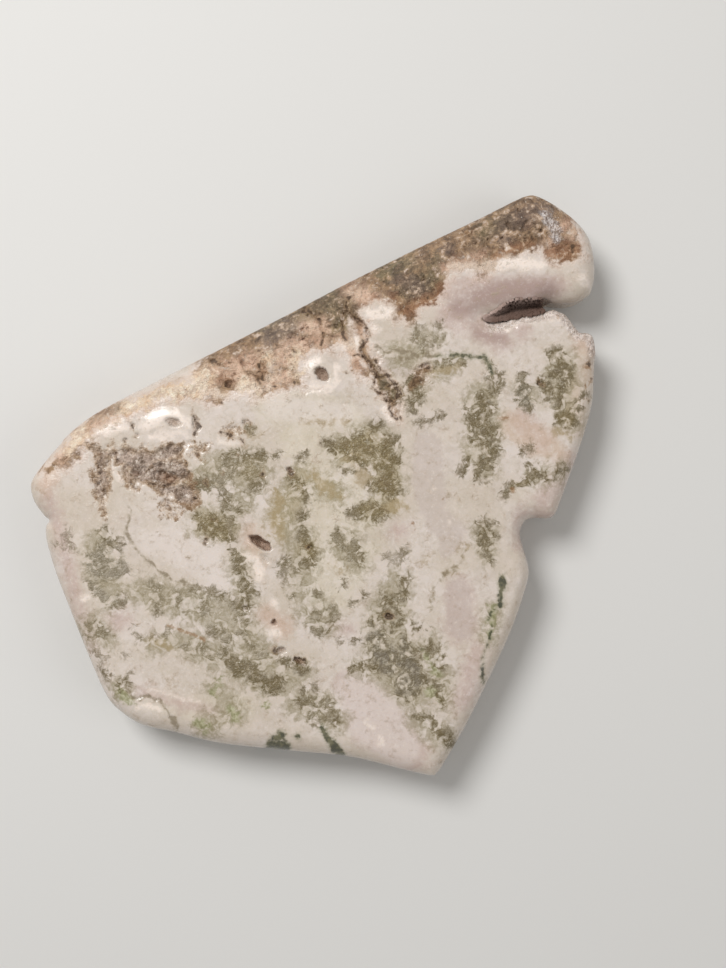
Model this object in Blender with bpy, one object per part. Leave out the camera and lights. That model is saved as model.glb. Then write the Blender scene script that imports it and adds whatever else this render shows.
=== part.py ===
"""A free-form slab of moss agate with rounded, polished edges, lying on its flat sawn back.

The shape is drawn in millimetres and handed to Blender in metres. +Z points out of the polished
face, +Y towards the rough rind along the long upper edge, and the origin is under the middle of
the slab, on the plane that it rests on.
"""
import bpy
import numpy as np
from mathutils import Vector, geometry, noise

METRES_PER_MM = 0.001

# Driving dimensions of the slab, in millimetres
THICKNESS = 15.0
EDGE_REACH = 4.6
EDGE_DROP = 4.0
RIND_EDGE_REACH = 8.5
RIND_EDGE_DROP = 6.2
BROKEN_EDGE_REACH = 2.2
BROKEN_EDGE_DROP = 1.8
BACK_REACH = 3.4
BACK_DROP = 3.4

# Mesh spacing and the triangles that are kept, by piece
OUTLINE_STEP = 1.1
FACE_STEP = 0.85
DETAIL_STEP = 0.42
BACK_STEP = 3.2
EDGE_RING_DEPTHS = (0.12, 0.45, 1.0, 1.8, 2.9)
BACK_RING_DEPTHS = (0.2, 0.9, 2.0, 3.5)
WALL_ROWS = 2
# A ring's point is dropped where a corner brings it nearer to the outline than this share of its depth
UNCROWDED_SHARE = 0.93
SLAB_TRIANGLES = 8300
CRUST_STEP = 0.36

# The outline, clockwise from the step at the left end of the rind
LONG_UPPER_EDGE = [
    (-51.9, 9.9), (-48.3, 13.1), (-42.6, 16.7), (-30.0, 23.2), (-9.0, 33.9), (8.2, 42.9),
    (25.2, 51.3), (34.0, 55.5), (42.2, 59.6), (44.9, 60.7),
]
ARM_END = [
    (46.6, 60.6), (49.4, 59.1), (54.6, 55.3), (57.8, 51.1), (58.9, 45.0), (58.2, 40.4),
    (56.9, 39.0), (54.4, 38.0),
]
SLOT_UNDER_ARM = [
    (51.6, 37.9), (49.6, 38.1), (48.7, 37.7), (49.2, 37.1), (50.6, 36.2), (52.4, 35.3),
    (53.5, 34.0), (54.6, 32.5), (55.6, 31.5), (57.1, 31.4),
]
RIGHT_SIDE = [
    (58.3, 30.4), (58.8, 26.5), (58.7, 21.9), (58.3, 16.6), (56.3, 9.3), (53.3, 0.7), (51.4, -4.4),
    (50.4, -6.4),
]
NOTCH = [
    (49.0, -7.1), (46.4, -7.0), (44.7, -7.4), (43.8, -8.4), (43.3, -10.4), (44.0, -13.4),
    (44.9, -16.6), (45.0, -19.4),
]
RIGHT_SHOULDER = [
    (43.5, -24.9), (41.4, -30.6), (38.2, -37.7), (32.3, -49.7), (27.4, -58.2), (26.0, -60.2),
]
BOTTOM_EDGE = [
    (24.6, -60.8), (18.3, -59.4), (7.8, -56.9), (-5.9, -55.5), (-19.5, -54.0), (-29.0, -51.7),
    (-35.3, -50.3), (-39.6, -47.8),
]
LEFT_SIDE = [
    (-43.0, -44.2), (-46.8, -35.8), (-51.4, -24.3), (-53.8, -18.0), (-55.5, -12.1), (-55.8, -9.0),
    (-55.1, -7.5),
]
LEFT_TIP = [
    (-56.1, -6.5), (-58.0, -3.9), (-58.9, -1.0), (-58.4, 1.4), (-55.2, 5.7), (-52.7, 8.7),
]

# How softly an area's border fades into the rest, in millimetres each way
RIND_SOFTNESS = 0.8
PATCH_SOFTNESS = 1.0
WIDE_EDGE_SOFTNESS = 4.0
BROKEN_EDGE_SOFTNESS = 1.2
# Where the rough rind covers the face: its lower border, closed outside the stone
RIND_AREA = [
    (56.0, 45.2), (50.5, 47.2), (43.0, 46.9), (34.7, 44.0), (27.3, 38.4), (19.0, 34.2), (10.7, 33.0),
    (3.0, 28.6), (-3.4, 24.4), (-10.8, 21.6), (-19.1, 20.2), (-36.5, 16.6), (-45.6, 11.6), (-50.0, 7.6),
    (-58.4, 1.0), (-66.0, 8.0), (40.0, 70.0), (66.0, 60.0), (66.0, 47.0),
]
# The long edge under the rind is rounded more widely than the rest
WIDE_EDGE_AREA = [(-60.0, 6.0), (44.0, 54.0), (52.0, 70.0), (-66.0, 16.0)]
# The crystalline edge below the slot is broken and not rounded
BROKEN_EDGE_AREA = [(44.5, 36.6), (50.0, 36.9), (62.0, 34.0), (62.0, 26.0), (55.0, 26.0), (45.0, 31.0)]
# The brown patch of small cavities near the left tip
DRUSY_PATCH = [
    (-46.4, 9.0), (-40.0, 11.0), (-35.0, 9.6), (-28.0, 9.4), (-21.0, 9.0), (-20.4, 4.6), (-24.4, 1.0),
    (-23.6, -5.4), (-30.6, -7.0), (-34.6, -1.4), (-39.8, 2.6), (-42.4, -7.0), (-46.0, -7.0), (-46.6, 2.0),
]

# Small hollows of the face: x, y, half length, half width, turn in degrees, depth
HOLLOWS = [
    (2.0, 22.8, 1.5, 1.3, -30.0, 3.4),
    (-28.6, 13.0, 1.5, 0.75, -8.0, 1.9),
    (-10.8, -12.0, 2.7, 1.25, -32.0, 3.0),
    (-7.9, -28.5, 1.1, 0.9, 0.0, 1.4),
    (-6.6, -34.3, 1.4, 0.9, 20.0, 1.3),
    (-2.4, -36.6, 1.7, 0.9, -25.0, 1.4),
    (-4.6, 3.0, 0.9, 0.7, 0.0, 1.0),
    (23.2, 24.5, 1.4, 0.7, 15.0, 0.9),
    (47.0, 21.0, 0.9, 0.7, 0.0, 0.9),
    (-0.4, -13.9, 0.8, 0.8, 0.0, 0.9),
    (-30.2, 1.4, 2.2, 1.3, -10.0, 1.5),
    (-24.2, 12.9, 0.8, 2.0, 0.0, 0.9),
    (44.6, 53.6, 1.6, 1.1, 30.0, 1.0),
    (14.2, 27.4, 1.3, 0.8, -60.0, 1.4),
]
# Swellings of the polish around hollows: x, y, half length, half width, turn in degrees, height
DOMES = [
    (2.0, 22.8, 4.2, 3.8, 0.0, 0.55),
    (-28.6, 13.0, 7.0, 3.6, 0.0, 0.5),
    (-10.6, -14.0, 4.4, 3.4, -30.0, 0.35),
    (44.6, -17.6, 4.6, 5.6, 0.0, 0.45),
]
# The dark crack across the rind and the healed cracks, as routes with a half width and a depth
CRACKS = [
    ([(7.4, 38.0), (9.9, 34.8), (12.4, 28.2), (14.0, 22.4), (16.1, 16.7), (18.2, 13.4)], 1.2, 1.7),
    ([(-1.3, 36.5), (0.6, 33.0), (2.9, 29.9)], 1.0, 1.2),
    ([(-2.1, 17.9), (2.4, 19.6), (8.2, 15.0)], 0.6, 0.5),
    ([(-39.8, -42.9), (-35.6, -44.6), (-31.4, -45.5), (-28.2, -50.4)], 0.8, 0.7),
]

# The blind part of the fissure, from its tip to the slot, with its half width at each point
FISSURE_ROUTE = [
    (35.3, 34.2, 0.5), (38.4, 34.9, 1.3), (41.6, 36.2, 2.1), (45.3, 36.6, 1.9), (48.6, 37.2, 1.5),
]
FISSURE_DEPTH = 7.0
LEAST_HALF_WIDTH = 0.05
# Shares of its length between which it goes down to its full depth
FISSURE_DEEPENS = (-0.25, 0.55)
# Distances from the fissure between which the weathered relief fades in
RELIEF_FADES_IN = (2.6, 4.0)
# The crust inside it: clear of the stone all round, with crystals that stand on it
CRUST_ROUTE_ENDS = (0.16, 0.86)
CRUST_CLEARANCE = 0.62
CRUST_THICKNESS = 0.7
CRUST_SPAN = 0.8
CRUST_END_TAPER = 0.8
CRUST_BORDER_POINTS = 24
CRYSTAL_PITCH = 1.15
CRYSTAL_HEIGHT = 1.0
CRYSTAL_SLOPE = 1.5
CRYSTAL_SEED = 7

# Relief of the weathered areas
RIND_SINK = 0.5
RIND_RELIEF = 0.6
RIND_GRAIN = 3.6
RIND_FINE_RELIEF = 0.4
RIND_FINE_GRAIN = 1.5
PATCH_SINK = 0.6
PATCH_RELIEF = 1.1
PATCH_GRAIN = 2.1
GRAIN_ROUGHNESS = 0.8
GRAIN_LACUNARITY = 2.1
GRAIN_OCTAVES = 3
# The seed makes the noise the same each run, and the levels keep relief and borders from matching
NOISE_SEED = 7
GRAIN_LEVEL = 0.0
WANDER_LEVEL = 5.0
BORDER_WANDER = 2.2
BORDER_WANDER_SIZE = 4.0
CRACK_WANDER = 1.3
CRACK_WANDER_SIZE = 2.4


def clear_scene():
    for item in list(bpy.data.objects):
        bpy.data.objects.remove(item, do_unlink=True)


def smooth_closed_outline(corners, step):
    """A closed Catmull-Rom curve through the corners, sampled about every step."""
    corners = np.array(corners)
    before, after, beyond = np.roll(corners, 1, 0), np.roll(corners, -1, 0), np.roll(corners, -2, 0)
    samples = []
    for p0, p1, p2, p3 in zip(before, corners, after, beyond):
        count = max(1, round(np.linalg.norm(p2 - p1) / step))
        for t in np.arange(count) / count:
            bend = 2 * p0 - 5 * p1 + 4 * p2 - p3
            twist = 3 * p1 - p0 - 3 * p2 + p3
            samples.append(p1 + 0.5 * t * (p2 - p0 + t * (bend + t * twist)))
    return np.array(samples)


def along_route(points, route):
    """Distance of each point from an open route, and how far along it the nearest place is."""
    starts, ends = route[:-1], route[1:]
    runs = ends - starts
    lengths = np.linalg.norm(runs, axis=1)
    travelled = np.concatenate([[0.0], np.cumsum(lengths)])
    nearest = np.full(len(points), np.inf)
    place = np.zeros(len(points))
    for start, run, length, before in zip(starts, runs, lengths, travelled):
        share = np.clip((points - start) @ run / length**2, 0, 1)
        distance = np.linalg.norm(points - start - share[:, None] * run, axis=1)
        closer = distance < nearest
        nearest[closer] = distance[closer]
        place[closer] = before + share[closer] * length
    return nearest, place / travelled[-1]


def shares_along(route):
    """How far along a route each of its points is, from 0 to 1."""
    travelled = np.concatenate([[0.0], np.cumsum(np.linalg.norm(np.diff(route, axis=0), axis=1))])
    return travelled / travelled[-1]


def depth_inside(points, border):
    """Distance from a closed border, positive inside it and negative outside."""
    border = np.asarray(border, dtype=float)
    distance, _ = along_route(points, np.vstack([border, border[:1]]))
    x, y = points[:, 0], points[:, 1]
    inside = np.zeros(len(points), dtype=bool)
    for (x1, y1), (x2, y2) in zip(border, np.roll(border, -1, 0)):
        if y1 != y2:
            crosses = (y1 > y) != (y2 > y)
            inside ^= crosses & (x < (x2 - x1) * (y - y1) / (y2 - y1) + x1)
    return np.where(inside, distance, -distance)


def smooth_step(value, low, high):
    t = np.clip((value - low) / (high - low), 0, 1)
    return t * t * (3 - 2 * t)


def cover(points, border, softness):
    """1 well inside a border, 0 well outside it."""
    return smooth_step(depth_inside(points, border), -softness, softness)


def grain(points, size):
    """Fractal noise of about -1 to 1, with lumps of the given size. It is the same each run."""
    values = []
    for x, y in points:
        place = Vector((x / size, y / size, GRAIN_LEVEL))
        values.append(noise.fractal(place, GRAIN_ROUGHNESS, GRAIN_LACUNARITY, GRAIN_OCTAVES))
    return np.array(values)


def wander(points, size, amount):
    """The points moved about by noise, which makes a border or a crack uneven."""
    shifts = [noise.noise_vector(Vector((x / size, y / size, WANDER_LEVEL)))[:2] for x, y in points]
    return points + amount * np.array(shifts)


def bowl(points, x, y, half_length, half_width, turn):
    """1 in the middle of an ellipse, falling to 0 at its rim."""
    angle = np.radians(turn)
    along = (points[:, 0] - x) * np.cos(angle) + (points[:, 1] - y) * np.sin(angle)
    across = (points[:, 1] - y) * np.cos(angle) - (points[:, 0] - x) * np.sin(angle)
    return np.clip(1 - (along / half_length) ** 2 - (across / half_width) ** 2, 0, 1)


def round_over(depth, reach, drop):
    """How far a quarter-round edge lies under the face at some depth inside the outline."""
    share = np.clip(1 - depth / reach, 0, 1)
    return drop * (1 - np.sqrt(1 - share**2))


def fissure_line():
    return np.array(FISSURE_ROUTE)[:, :2]


def fissure_half_width(share):
    """Half width of the fissure at some share of its length from the tip."""
    return np.interp(share, shares_along(fissure_line()), np.array(FISSURE_ROUTE)[:, 2])


def fissure_sink(points, inset=0.0):
    """Depth of the blind part of the fissure, or of a smaller trough that lies in it by an inset."""
    distance, share = along_route(points, fissure_line())
    across = distance / np.maximum(fissure_half_width(share) - inset, LEAST_HALF_WIDTH)
    full_depth = (FISSURE_DEPTH - inset) * smooth_step(share, *FISSURE_DEEPENS)
    return full_depth * np.clip(1 - across**2, 0, 1)


def edge_shape(points):
    """Reach and drop of the rounded edge near each point."""
    wide = cover(points, WIDE_EDGE_AREA, WIDE_EDGE_SOFTNESS)
    broken = cover(points, BROKEN_EDGE_AREA, BROKEN_EDGE_SOFTNESS)
    reach = EDGE_REACH + wide * (RIND_EDGE_REACH - EDGE_REACH)
    drop = EDGE_DROP + wide * (RIND_EDGE_DROP - EDGE_DROP)
    reach += broken * (BROKEN_EDGE_REACH - reach)
    drop += broken * (BROKEN_EDGE_DROP - drop)
    return reach, drop


def smooth_face_height(points, outline):
    """The polished surface, before anything is sunk into it."""
    reach, drop = edge_shape(points)
    height = THICKNESS - round_over(np.maximum(depth_inside(points, outline), 0), reach, drop)
    for x, y, half_length, half_width, turn, rise in DOMES:
        height += rise * smooth_step(bowl(points, x, y, half_length, half_width, turn), 0, 1)
    return height


def face_height(points, outline):
    height = smooth_face_height(points, outline)
    clear_of_fissure = smooth_step(along_route(points, fissure_line())[0], *RELIEF_FADES_IN)
    uneven = wander(points, BORDER_WANDER_SIZE, BORDER_WANDER)
    rind = cover(uneven, RIND_AREA, RIND_SOFTNESS)
    patch = cover(uneven, DRUSY_PATCH, PATCH_SOFTNESS)
    lumps = RIND_RELIEF * grain(points, RIND_GRAIN) + RIND_FINE_RELIEF * grain(points, RIND_FINE_GRAIN)
    rough_rind = RIND_SINK + lumps
    rough_patch = PATCH_SINK + PATCH_RELIEF * grain(points, PATCH_GRAIN)
    height -= clear_of_fissure * (rind * rough_rind + patch * rough_patch)
    for x, y, half_length, half_width, turn, sink in HOLLOWS:
        height -= sink * np.sqrt(bowl(points, x, y, half_length, half_width, turn))
    jagged = wander(points, CRACK_WANDER_SIZE, CRACK_WANDER)
    for route, half_width, sink in CRACKS:
        distance, place = along_route(jagged, np.array(route))
        fade = smooth_step(place, -0.1, 0.15) * (1 - smooth_step(place, 0.75, 1.1))
        height -= sink * fade * np.clip(1 - (distance / half_width) ** 2, 0, 1)
    return height - fissure_sink(points)


def near_detail(points):
    """Where the face needs close points: over the hollows, the cracks and the fissure."""
    near = along_route(points, fissure_line())[0] < RELIEF_FADES_IN[1]
    for route, half_width, _ in CRACKS:
        near |= along_route(points, np.array(route))[0] < half_width + CRACK_WANDER
    for x, y, half_length, half_width, turn, _ in HOLLOWS:
        near |= bowl(points, x, y, half_length + DETAIL_STEP, half_width + DETAIL_STEP, turn) > 0
    return near


def inset_rings(outline, depths):
    """Copies of the outline moved inwards, without the points that a corner would crowd."""
    tangents = np.roll(outline, -1, 0) - np.roll(outline, 1, 0)
    tangents /= np.linalg.norm(tangents, axis=1)[:, None]
    inward = np.column_stack([tangents[:, 1], -tangents[:, 0]])
    rings = []
    for depth in depths:
        ring = outline + depth * inward
        rings.append(ring[depth_inside(ring, outline) > UNCROWDED_SHARE * depth])
    return np.vstack(rings)


def staggered_grid(border, step, least_depth):
    """Points of a triangular grid that lie at least some depth inside a border."""
    low, high = border.min(0), border.max(0)
    row_step = step * np.sqrt(0.75)
    rows = []
    for row, y in enumerate(np.arange(low[1], high[1], row_step)):
        x = np.arange(low[0] + step * (row % 2) / 2, high[0], step)
        rows.append(np.column_stack([x, np.full(len(x), y)]))
    grid = np.vstack(rows)
    return grid[depth_inside(grid, border) > least_depth]


def triangulate(border, inner):
    """Triangles over a border and the points inside it: the border's points come first."""
    points = np.vstack([border, inner])
    flat = [Vector(point) for point in points]
    found, _, faces, sources, _, _ = geometry.delaunay_2d_cdt(flat, [], [list(range(len(border)))], 1, 1e-6)
    first_source = [source[0] for source in sources]
    return points, [[first_source[corner] for corner in face] for face in faces]


def mesh_object(name, vertices, faces, material):
    mesh = bpy.data.meshes.new(name)
    mesh.from_pydata([tuple(vertex * METRES_PER_MM) for vertex in vertices], [], faces)
    mesh.validate()
    mesh.materials.append(material)
    made = bpy.data.objects.new(name, mesh)
    bpy.context.scene.collection.objects.link(made)
    return made


def closed_between(border, top_inner, bottom_inner, top_height, bottom_height, rows):
    """Vertices and faces of a closed body: a top sheet, a bottom sheet and a wall between them."""
    top_points, top_faces = triangulate(border, top_inner)
    bottom_points, bottom_faces = triangulate(border, bottom_inner)
    top = np.column_stack([top_points, top_height(top_points)])
    bottom = np.column_stack([bottom_points, bottom_height(bottom_points)])
    count = len(border)
    vertices = [top, bottom]
    first_of_row = [len(top)]
    next_free = len(top) + len(bottom)
    for row in range(1, rows):
        share = row / rows
        vertices.append(bottom[:count] * (1 - share) + top[:count] * share)
        first_of_row.append(next_free)
        next_free += count
    first_of_row.append(0)
    faces = top_faces + [[corner + len(top) for corner in reversed(face)] for face in bottom_faces]
    for lower, upper in zip(first_of_row, first_of_row[1:]):
        for i in range(count):
            j = (i + 1) % count
            faces.append([lower + i, upper + i, upper + j, lower + j])
    return np.vstack(vertices), faces


def make_material(name, colour, roughness):
    material = bpy.data.materials.new(name)
    material.use_nodes = True
    shader = material.node_tree.nodes["Principled BSDF"]
    shader.inputs["Base Color"].default_value = (*colour, 1.0)
    shader.inputs["Roughness"].default_value = roughness
    shader.inputs["Metallic"].default_value = 0.0
    return material


def stone_outline():
    corners = (
        LONG_UPPER_EDGE + ARM_END + SLOT_UNDER_ARM + RIGHT_SIDE + NOTCH + RIGHT_SHOULDER
        + BOTTOM_EDGE + LEFT_SIDE + LEFT_TIP
    )
    return smooth_closed_outline(corners, OUTLINE_STEP)


def make_slab(outline):
    plain = staggered_grid(outline, FACE_STEP, EDGE_RING_DEPTHS[-1] + FACE_STEP / 2)
    close = staggered_grid(outline, DETAIL_STEP, DETAIL_STEP / 2)
    rings = inset_rings(outline, EDGE_RING_DEPTHS)
    spaced = np.vstack([rings, plain])
    face_inner = np.vstack([spaced[~near_detail(spaced)], close[near_detail(close)]])
    back_inner = np.vstack([
        inset_rings(outline, BACK_RING_DEPTHS),
        staggered_grid(outline, BACK_STEP, BACK_RING_DEPTHS[-1] + BACK_STEP / 2),
    ])

    def back_height(points):
        return round_over(np.maximum(depth_inside(points, outline), 0), BACK_REACH, BACK_DROP)

    vertices, faces = closed_between(
        outline, face_inner, back_inner, lambda points: face_height(points, outline), back_height, WALL_ROWS
    )
    material = make_material("polished moss agate", (0.56, 0.50, 0.41), 0.22)
    slab = mesh_object("agate_slab", vertices, faces, material)
    thinning = slab.modifiers.new("fewer triangles", "DECIMATE")
    thinning.ratio = SLAB_TRIANGLES / sum(len(face) - 2 for face in faces)
    thinning.use_collapse_triangulate = True
    slab.data.shade_smooth()
    return slab


def crystal_tops(points):
    """Height of a growth of six-sided crystal points above the crust that carries them."""
    rng = np.random.default_rng(CRYSTAL_SEED)
    low, high = points.min(0), points.max(0)
    tops = np.zeros(len(points))
    for x in np.arange(low[0], high[0], CRYSTAL_PITCH):
        for y in np.arange(low[1], high[1], CRYSTAL_PITCH):
            middle = np.array([x, y]) + rng.uniform(-0.35, 0.35, 2) * CRYSTAL_PITCH
            turn = rng.uniform(0, np.pi / 3)
            height = CRYSTAL_HEIGHT * rng.uniform(0.7, 1.2)
            sides = turn + np.arange(6) * np.pi / 3
            outward = np.column_stack([np.cos(sides), np.sin(sides)])
            distance = ((points - middle) @ outward.T).max(axis=1)
            tops = np.maximum(tops, height - CRYSTAL_SLOPE * distance)
    return tops


def make_crust(outline):
    """The druse that lines the fissure, as one body that clears the stone all round."""
    line = fissure_line()
    start, end = CRUST_ROUTE_ENDS
    shares = np.linspace(start, end, CRUST_BORDER_POINTS)
    centres = np.column_stack([np.interp(shares, shares_along(line), line[:, axis]) for axis in (0, 1)])
    from_middle = np.abs(2 * (shares - start) / (end - start) - 1)
    half_widths = CRUST_SPAN * (fissure_half_width(shares) - CRUST_CLEARANCE)
    half_widths *= np.sqrt(1 - CRUST_END_TAPER * from_middle**4)
    tangents = np.gradient(centres, axis=0)
    tangents /= np.linalg.norm(tangents, axis=1)[:, None]
    sideways = np.column_stack([-tangents[:, 1], tangents[:, 0]])
    upper_side = centres + half_widths[:, None] * sideways
    lower_side = centres - half_widths[:, None] * sideways
    border = np.vstack([upper_side, lower_side[::-1]])
    inner = staggered_grid(border, CRUST_STEP, CRUST_STEP / 2)

    def under_side(points):
        return smooth_face_height(points, outline) - fissure_sink(points, CRUST_CLEARANCE)

    def upper_height(points):
        return under_side(points) + CRUST_THICKNESS + crystal_tops(points)

    vertices, faces = closed_between(border, inner, inner, upper_height, under_side, 1)
    material = make_material("quartz druse", (0.30, 0.22, 0.19), 0.35)
    return mesh_object("fissure_druse", vertices, faces, material)


clear_scene()
noise.seed_set(NOISE_SEED)
stone = stone_outline()
make_slab(stone)
make_crust(stone)
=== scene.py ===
"""Looks of a polished slab of moss agate: its markings, its rough rind and its small crystals.

Shapes are drawn in millimetres and handed to Blender in metres. Markings, and the painted shade and
highlights among them, are strokes given in pixels of the image size 726 by 968. Each point of the stone
is marked by the strokes near the place where the camera sees it.
"""

import bpy
import numpy as np
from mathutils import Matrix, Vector, geometry, kdtree, noise


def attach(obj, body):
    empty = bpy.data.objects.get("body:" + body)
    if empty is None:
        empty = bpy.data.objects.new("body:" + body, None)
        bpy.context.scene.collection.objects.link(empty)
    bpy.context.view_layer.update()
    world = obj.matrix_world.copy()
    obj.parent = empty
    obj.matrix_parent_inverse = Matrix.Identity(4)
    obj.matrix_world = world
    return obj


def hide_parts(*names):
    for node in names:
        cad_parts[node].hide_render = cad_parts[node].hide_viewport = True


METRES_PER_MM = 0.001

# The camera looks straight down: its place in millimetres and its focal length in pixels
CAMERA_PLACE = (10.5, 0.1, 310.0)
FOCAL_PIXELS = 1428.6
IMAGE_CENTRE = (363.0, 484.0)
LONG_SIDE_PIXELS = 968
SENSOR_MM = 36.0
MM_PER_PIXEL = 0.2065

# The stone's measures, in millimetres
THICKNESS = 15.0
EDGE_REACH = 4.6
EDGE_DROP = 4.0
RIND_EDGE_REACH = 8.5
RIND_EDGE_DROP = 6.2
BROKEN_EDGE_REACH = 2.2
BROKEN_EDGE_DROP = 1.8
BACK_REACH = 3.4
BACK_DROP = 3.4

# Mesh spacing
OUTLINE_STEP = 0.36
PLAIN_STEP = 0.66
MARKED_STEP = 0.42
ROUGH_STEP = 0.29
BACK_STEP = 1.5
EDGE_RING_DEPTHS = (0.03, 0.12, 0.27, 0.48, 0.75, 1.08, 1.47, 1.92, 2.45)
BACK_RING_DEPTHS = (0.05, 0.2, 0.5, 1.0, 1.7, 2.6)
WALL_ROWS = 9
# A ring's point is dropped where a corner brings it nearer to the outline than this share of its depth
UNCROWDED_SHARE = 0.93

# The outline, clockwise from the step at the left end of the rind
LONG_UPPER_EDGE = [
    (-51.9, 9.9), (-48.3, 13.1), (-42.6, 16.7), (-30.0, 23.2), (-9.0, 33.9), (8.2, 42.9),
    (25.2, 51.3), (34.0, 55.5), (42.2, 59.6), (44.9, 60.7),
]
ARM_END = [
    (46.6, 60.6), (49.4, 59.1), (54.6, 55.3), (57.8, 51.1), (58.9, 45.0), (58.2, 40.4),
    (56.9, 39.0), (54.4, 38.0),
]
SLOT_UNDER_ARM = [
    (51.6, 37.9), (49.6, 38.1), (48.7, 37.7), (49.2, 37.1), (50.6, 36.2), (52.4, 35.3),
    (53.5, 34.0), (54.6, 32.5), (55.6, 31.5), (57.1, 31.4),
]
RIGHT_SIDE = [
    (58.3, 30.4), (58.8, 26.5), (58.7, 21.9), (58.3, 16.6), (56.3, 9.3), (53.3, 0.7), (51.4, -4.4),
    (50.4, -6.4),
]
NOTCH = [
    (49.0, -7.1), (46.4, -7.0), (44.7, -7.4), (43.8, -8.4), (43.3, -10.4), (44.0, -13.4),
    (44.9, -16.6), (45.0, -19.4),
]
RIGHT_SHOULDER = [
    (43.5, -24.9), (41.4, -30.6), (38.2, -37.7), (32.3, -49.7), (27.4, -58.2), (26.0, -60.2),
]
BOTTOM_EDGE = [
    (24.6, -60.8), (18.3, -59.4), (7.8, -56.9), (-5.9, -55.5), (-19.5, -54.0), (-29.0, -51.7),
    (-35.3, -50.3), (-39.6, -47.8),
]
LEFT_SIDE = [
    (-43.0, -44.2), (-46.8, -35.8), (-51.4, -24.3), (-53.8, -18.0), (-55.5, -12.1), (-55.8, -9.0),
    (-55.1, -7.5),
]
LEFT_TIP = [
    (-56.1, -6.5), (-58.0, -3.9), (-58.9, -1.0), (-58.4, 1.4), (-55.2, 5.7), (-52.7, 8.7),
]
# Areas of the edge: rounded widely under the rind, broken below the slot, sugary round the fissure
WIDE_EDGE_AREA = [(-60.0, 6.0), (44.0, 54.0), (52.0, 70.0), (-66.0, 16.0)]
BROKEN_EDGE_AREA = [(44.5, 36.6), (50.0, 36.9), (62.0, 34.0), (62.0, 26.0), (55.0, 26.0), (45.0, 31.0)]
SUGARY_AREA = [
    (35.5, 33.4), (44.5, 36.4), (50.0, 36.9), (62.0, 34.0), (62.0, 26.0), (55.0, 26.0), (45.0, 30.5),
    (36.5, 30.6),
]
WIDE_EDGE_SOFTNESS = 4.0
BROKEN_EDGE_SOFTNESS = 1.2

# Hollows of the face: x, y, half length, half width, turn in degrees, depth, how steep the sides are
HOLLOWS = [
    (2.0, 22.8, 1.7, 1.25, -50.0, 2.0, 0.35),
    (-28.6, 12.9, 1.9, 0.95, -14.0, 1.1, 0.6),
    (-10.8, -12.0, 2.7, 1.05, -32.0, 3.0, 0.5),
    (-9.6, -15.4, 1.6, 1.2, -60.0, 0.4, 1.0),
    (-7.9, -28.5, 0.8, 0.6, 0.0, 1.3, 0.5),
    (-6.6, -34.3, 1.2, 0.8, 20.0, 1.0, 0.6),
    (-2.4, -36.6, 1.5, 0.8, -25.0, 1.2, 0.6),
    (-4.6, 3.0, 0.8, 0.6, 0.0, 1.0, 0.6),
    (23.2, 24.5, 1.4, 0.6, 15.0, 0.9, 0.5),
    (47.0, 21.0, 0.8, 0.6, 0.0, 0.9, 0.5),
    (-0.4, -13.0, 0.6, 0.5, 0.0, 0.7, 0.6),
    (-30.2, 1.4, 3.2, 1.5, -10.0, 1.5, 0.8),
    (-24.2, 12.9, 0.7, 2.0, 0.0, 0.7, 0.8),
    (44.6, 53.6, 1.6, 1.1, 30.0, 0.8, 0.8),
    (10.1, 33.4, 1.1, 0.6, -40.0, 1.0, 0.6),
    (-38.7, 9.2, 0.5, 0.5, 0.0, 0.7, 0.5),
    (-37.2, 12.3, 0.45, 0.45, 0.0, 0.6, 0.5),
    (-36.0, 10.2, 0.4, 0.4, 0.0, 0.6, 0.5),
    (-17.3, 20.7, 0.9, 0.8, 0.0, 1.2, 0.5),
    (-22.0, -11.7, 0.5, 0.45, 0.0, 0.7, 0.5),
    (-20.3, -7.4, 0.5, 0.4, 0.0, 0.5, 0.5),
    (-14.0, 12.9, 0.6, 0.6, 0.0, 0.7, 0.5),
    (15.7, -27.0, 0.5, 0.5, 0.0, 0.8, 0.5),
    (-36.8, 2.0, 1.0, 0.8, 40.0, 1.1, 0.6),
    (-10.0, 2.0, 0.4, 0.4, 0.0, 0.5, 0.5),
    (-13.7, -25.5, 0.8, 0.7, 0.0, 0.7, 0.6),
    (39.4, 32.6, 1.2, 0.7, -60.0, 0.45, 1.0),
    (41.6, 32.9, 0.7, 0.9, 20.0, 0.3, 1.0),
]
# Swellings of the polish around hollows: x, y, half length, half width, turn in degrees, height
DOMES = [
    (2.3, 22.4, 4.6, 3.8, -20.0, 0.32),
    (-29.4, 12.8, 7.0, 3.6, 0.0, 0.5),
    (-10.6, -14.0, 4.4, 3.4, -30.0, 0.35),
    (44.6, -17.6, 4.6, 5.6, 0.0, 0.45),
]
# Open and healed cracks as routes in pixels, with a half width and a depth in millimetres
CRACKS = [
    ([(349, 298), (348, 310), (353, 318), (362, 324), (367, 331), (366, 340), (362, 348), (369, 363),
      (377, 375), (375, 387), (379, 394), (390, 402), (391, 414)], 0.38, 1.0),
    ([(376, 352), (383, 370), (393, 380), (396, 388), (399, 400), (402, 417)], 0.3, 0.6),
    ([(349, 308), (343, 318), (342, 328), (345, 338)], 0.35, 0.7),
    ([(369, 363), (357, 356), (352, 357)], 0.3, 0.6),
    ([(304, 306), (312, 314), (320, 322), (324, 332), (322, 345)], 0.4, 0.8),
    ([(302, 395), (308, 391), (320, 390), (330, 393), (340, 400), (350, 405), (352, 412)], 0.3, 0.2),
    ([(128, 688), (132, 697), (140, 696), (148, 696), (155, 698), (163, 703), (172, 716), (176, 730)],
     0.3, 0.25),
    ([(192, 410), (197, 419), (199, 427), (196, 437)], 0.3, 0.5),
]

# The blind part of the fissure, from its tip to the slot, with its half width at each point
FISSURE_ROUTE = [
    (35.3, 34.2, 0.45), (38.4, 34.9, 1.2), (41.6, 36.3, 2.0), (45.3, 36.8, 1.8), (48.6, 37.2, 1.5),
]
FISSURE_DEPTH = 7.0
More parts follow.
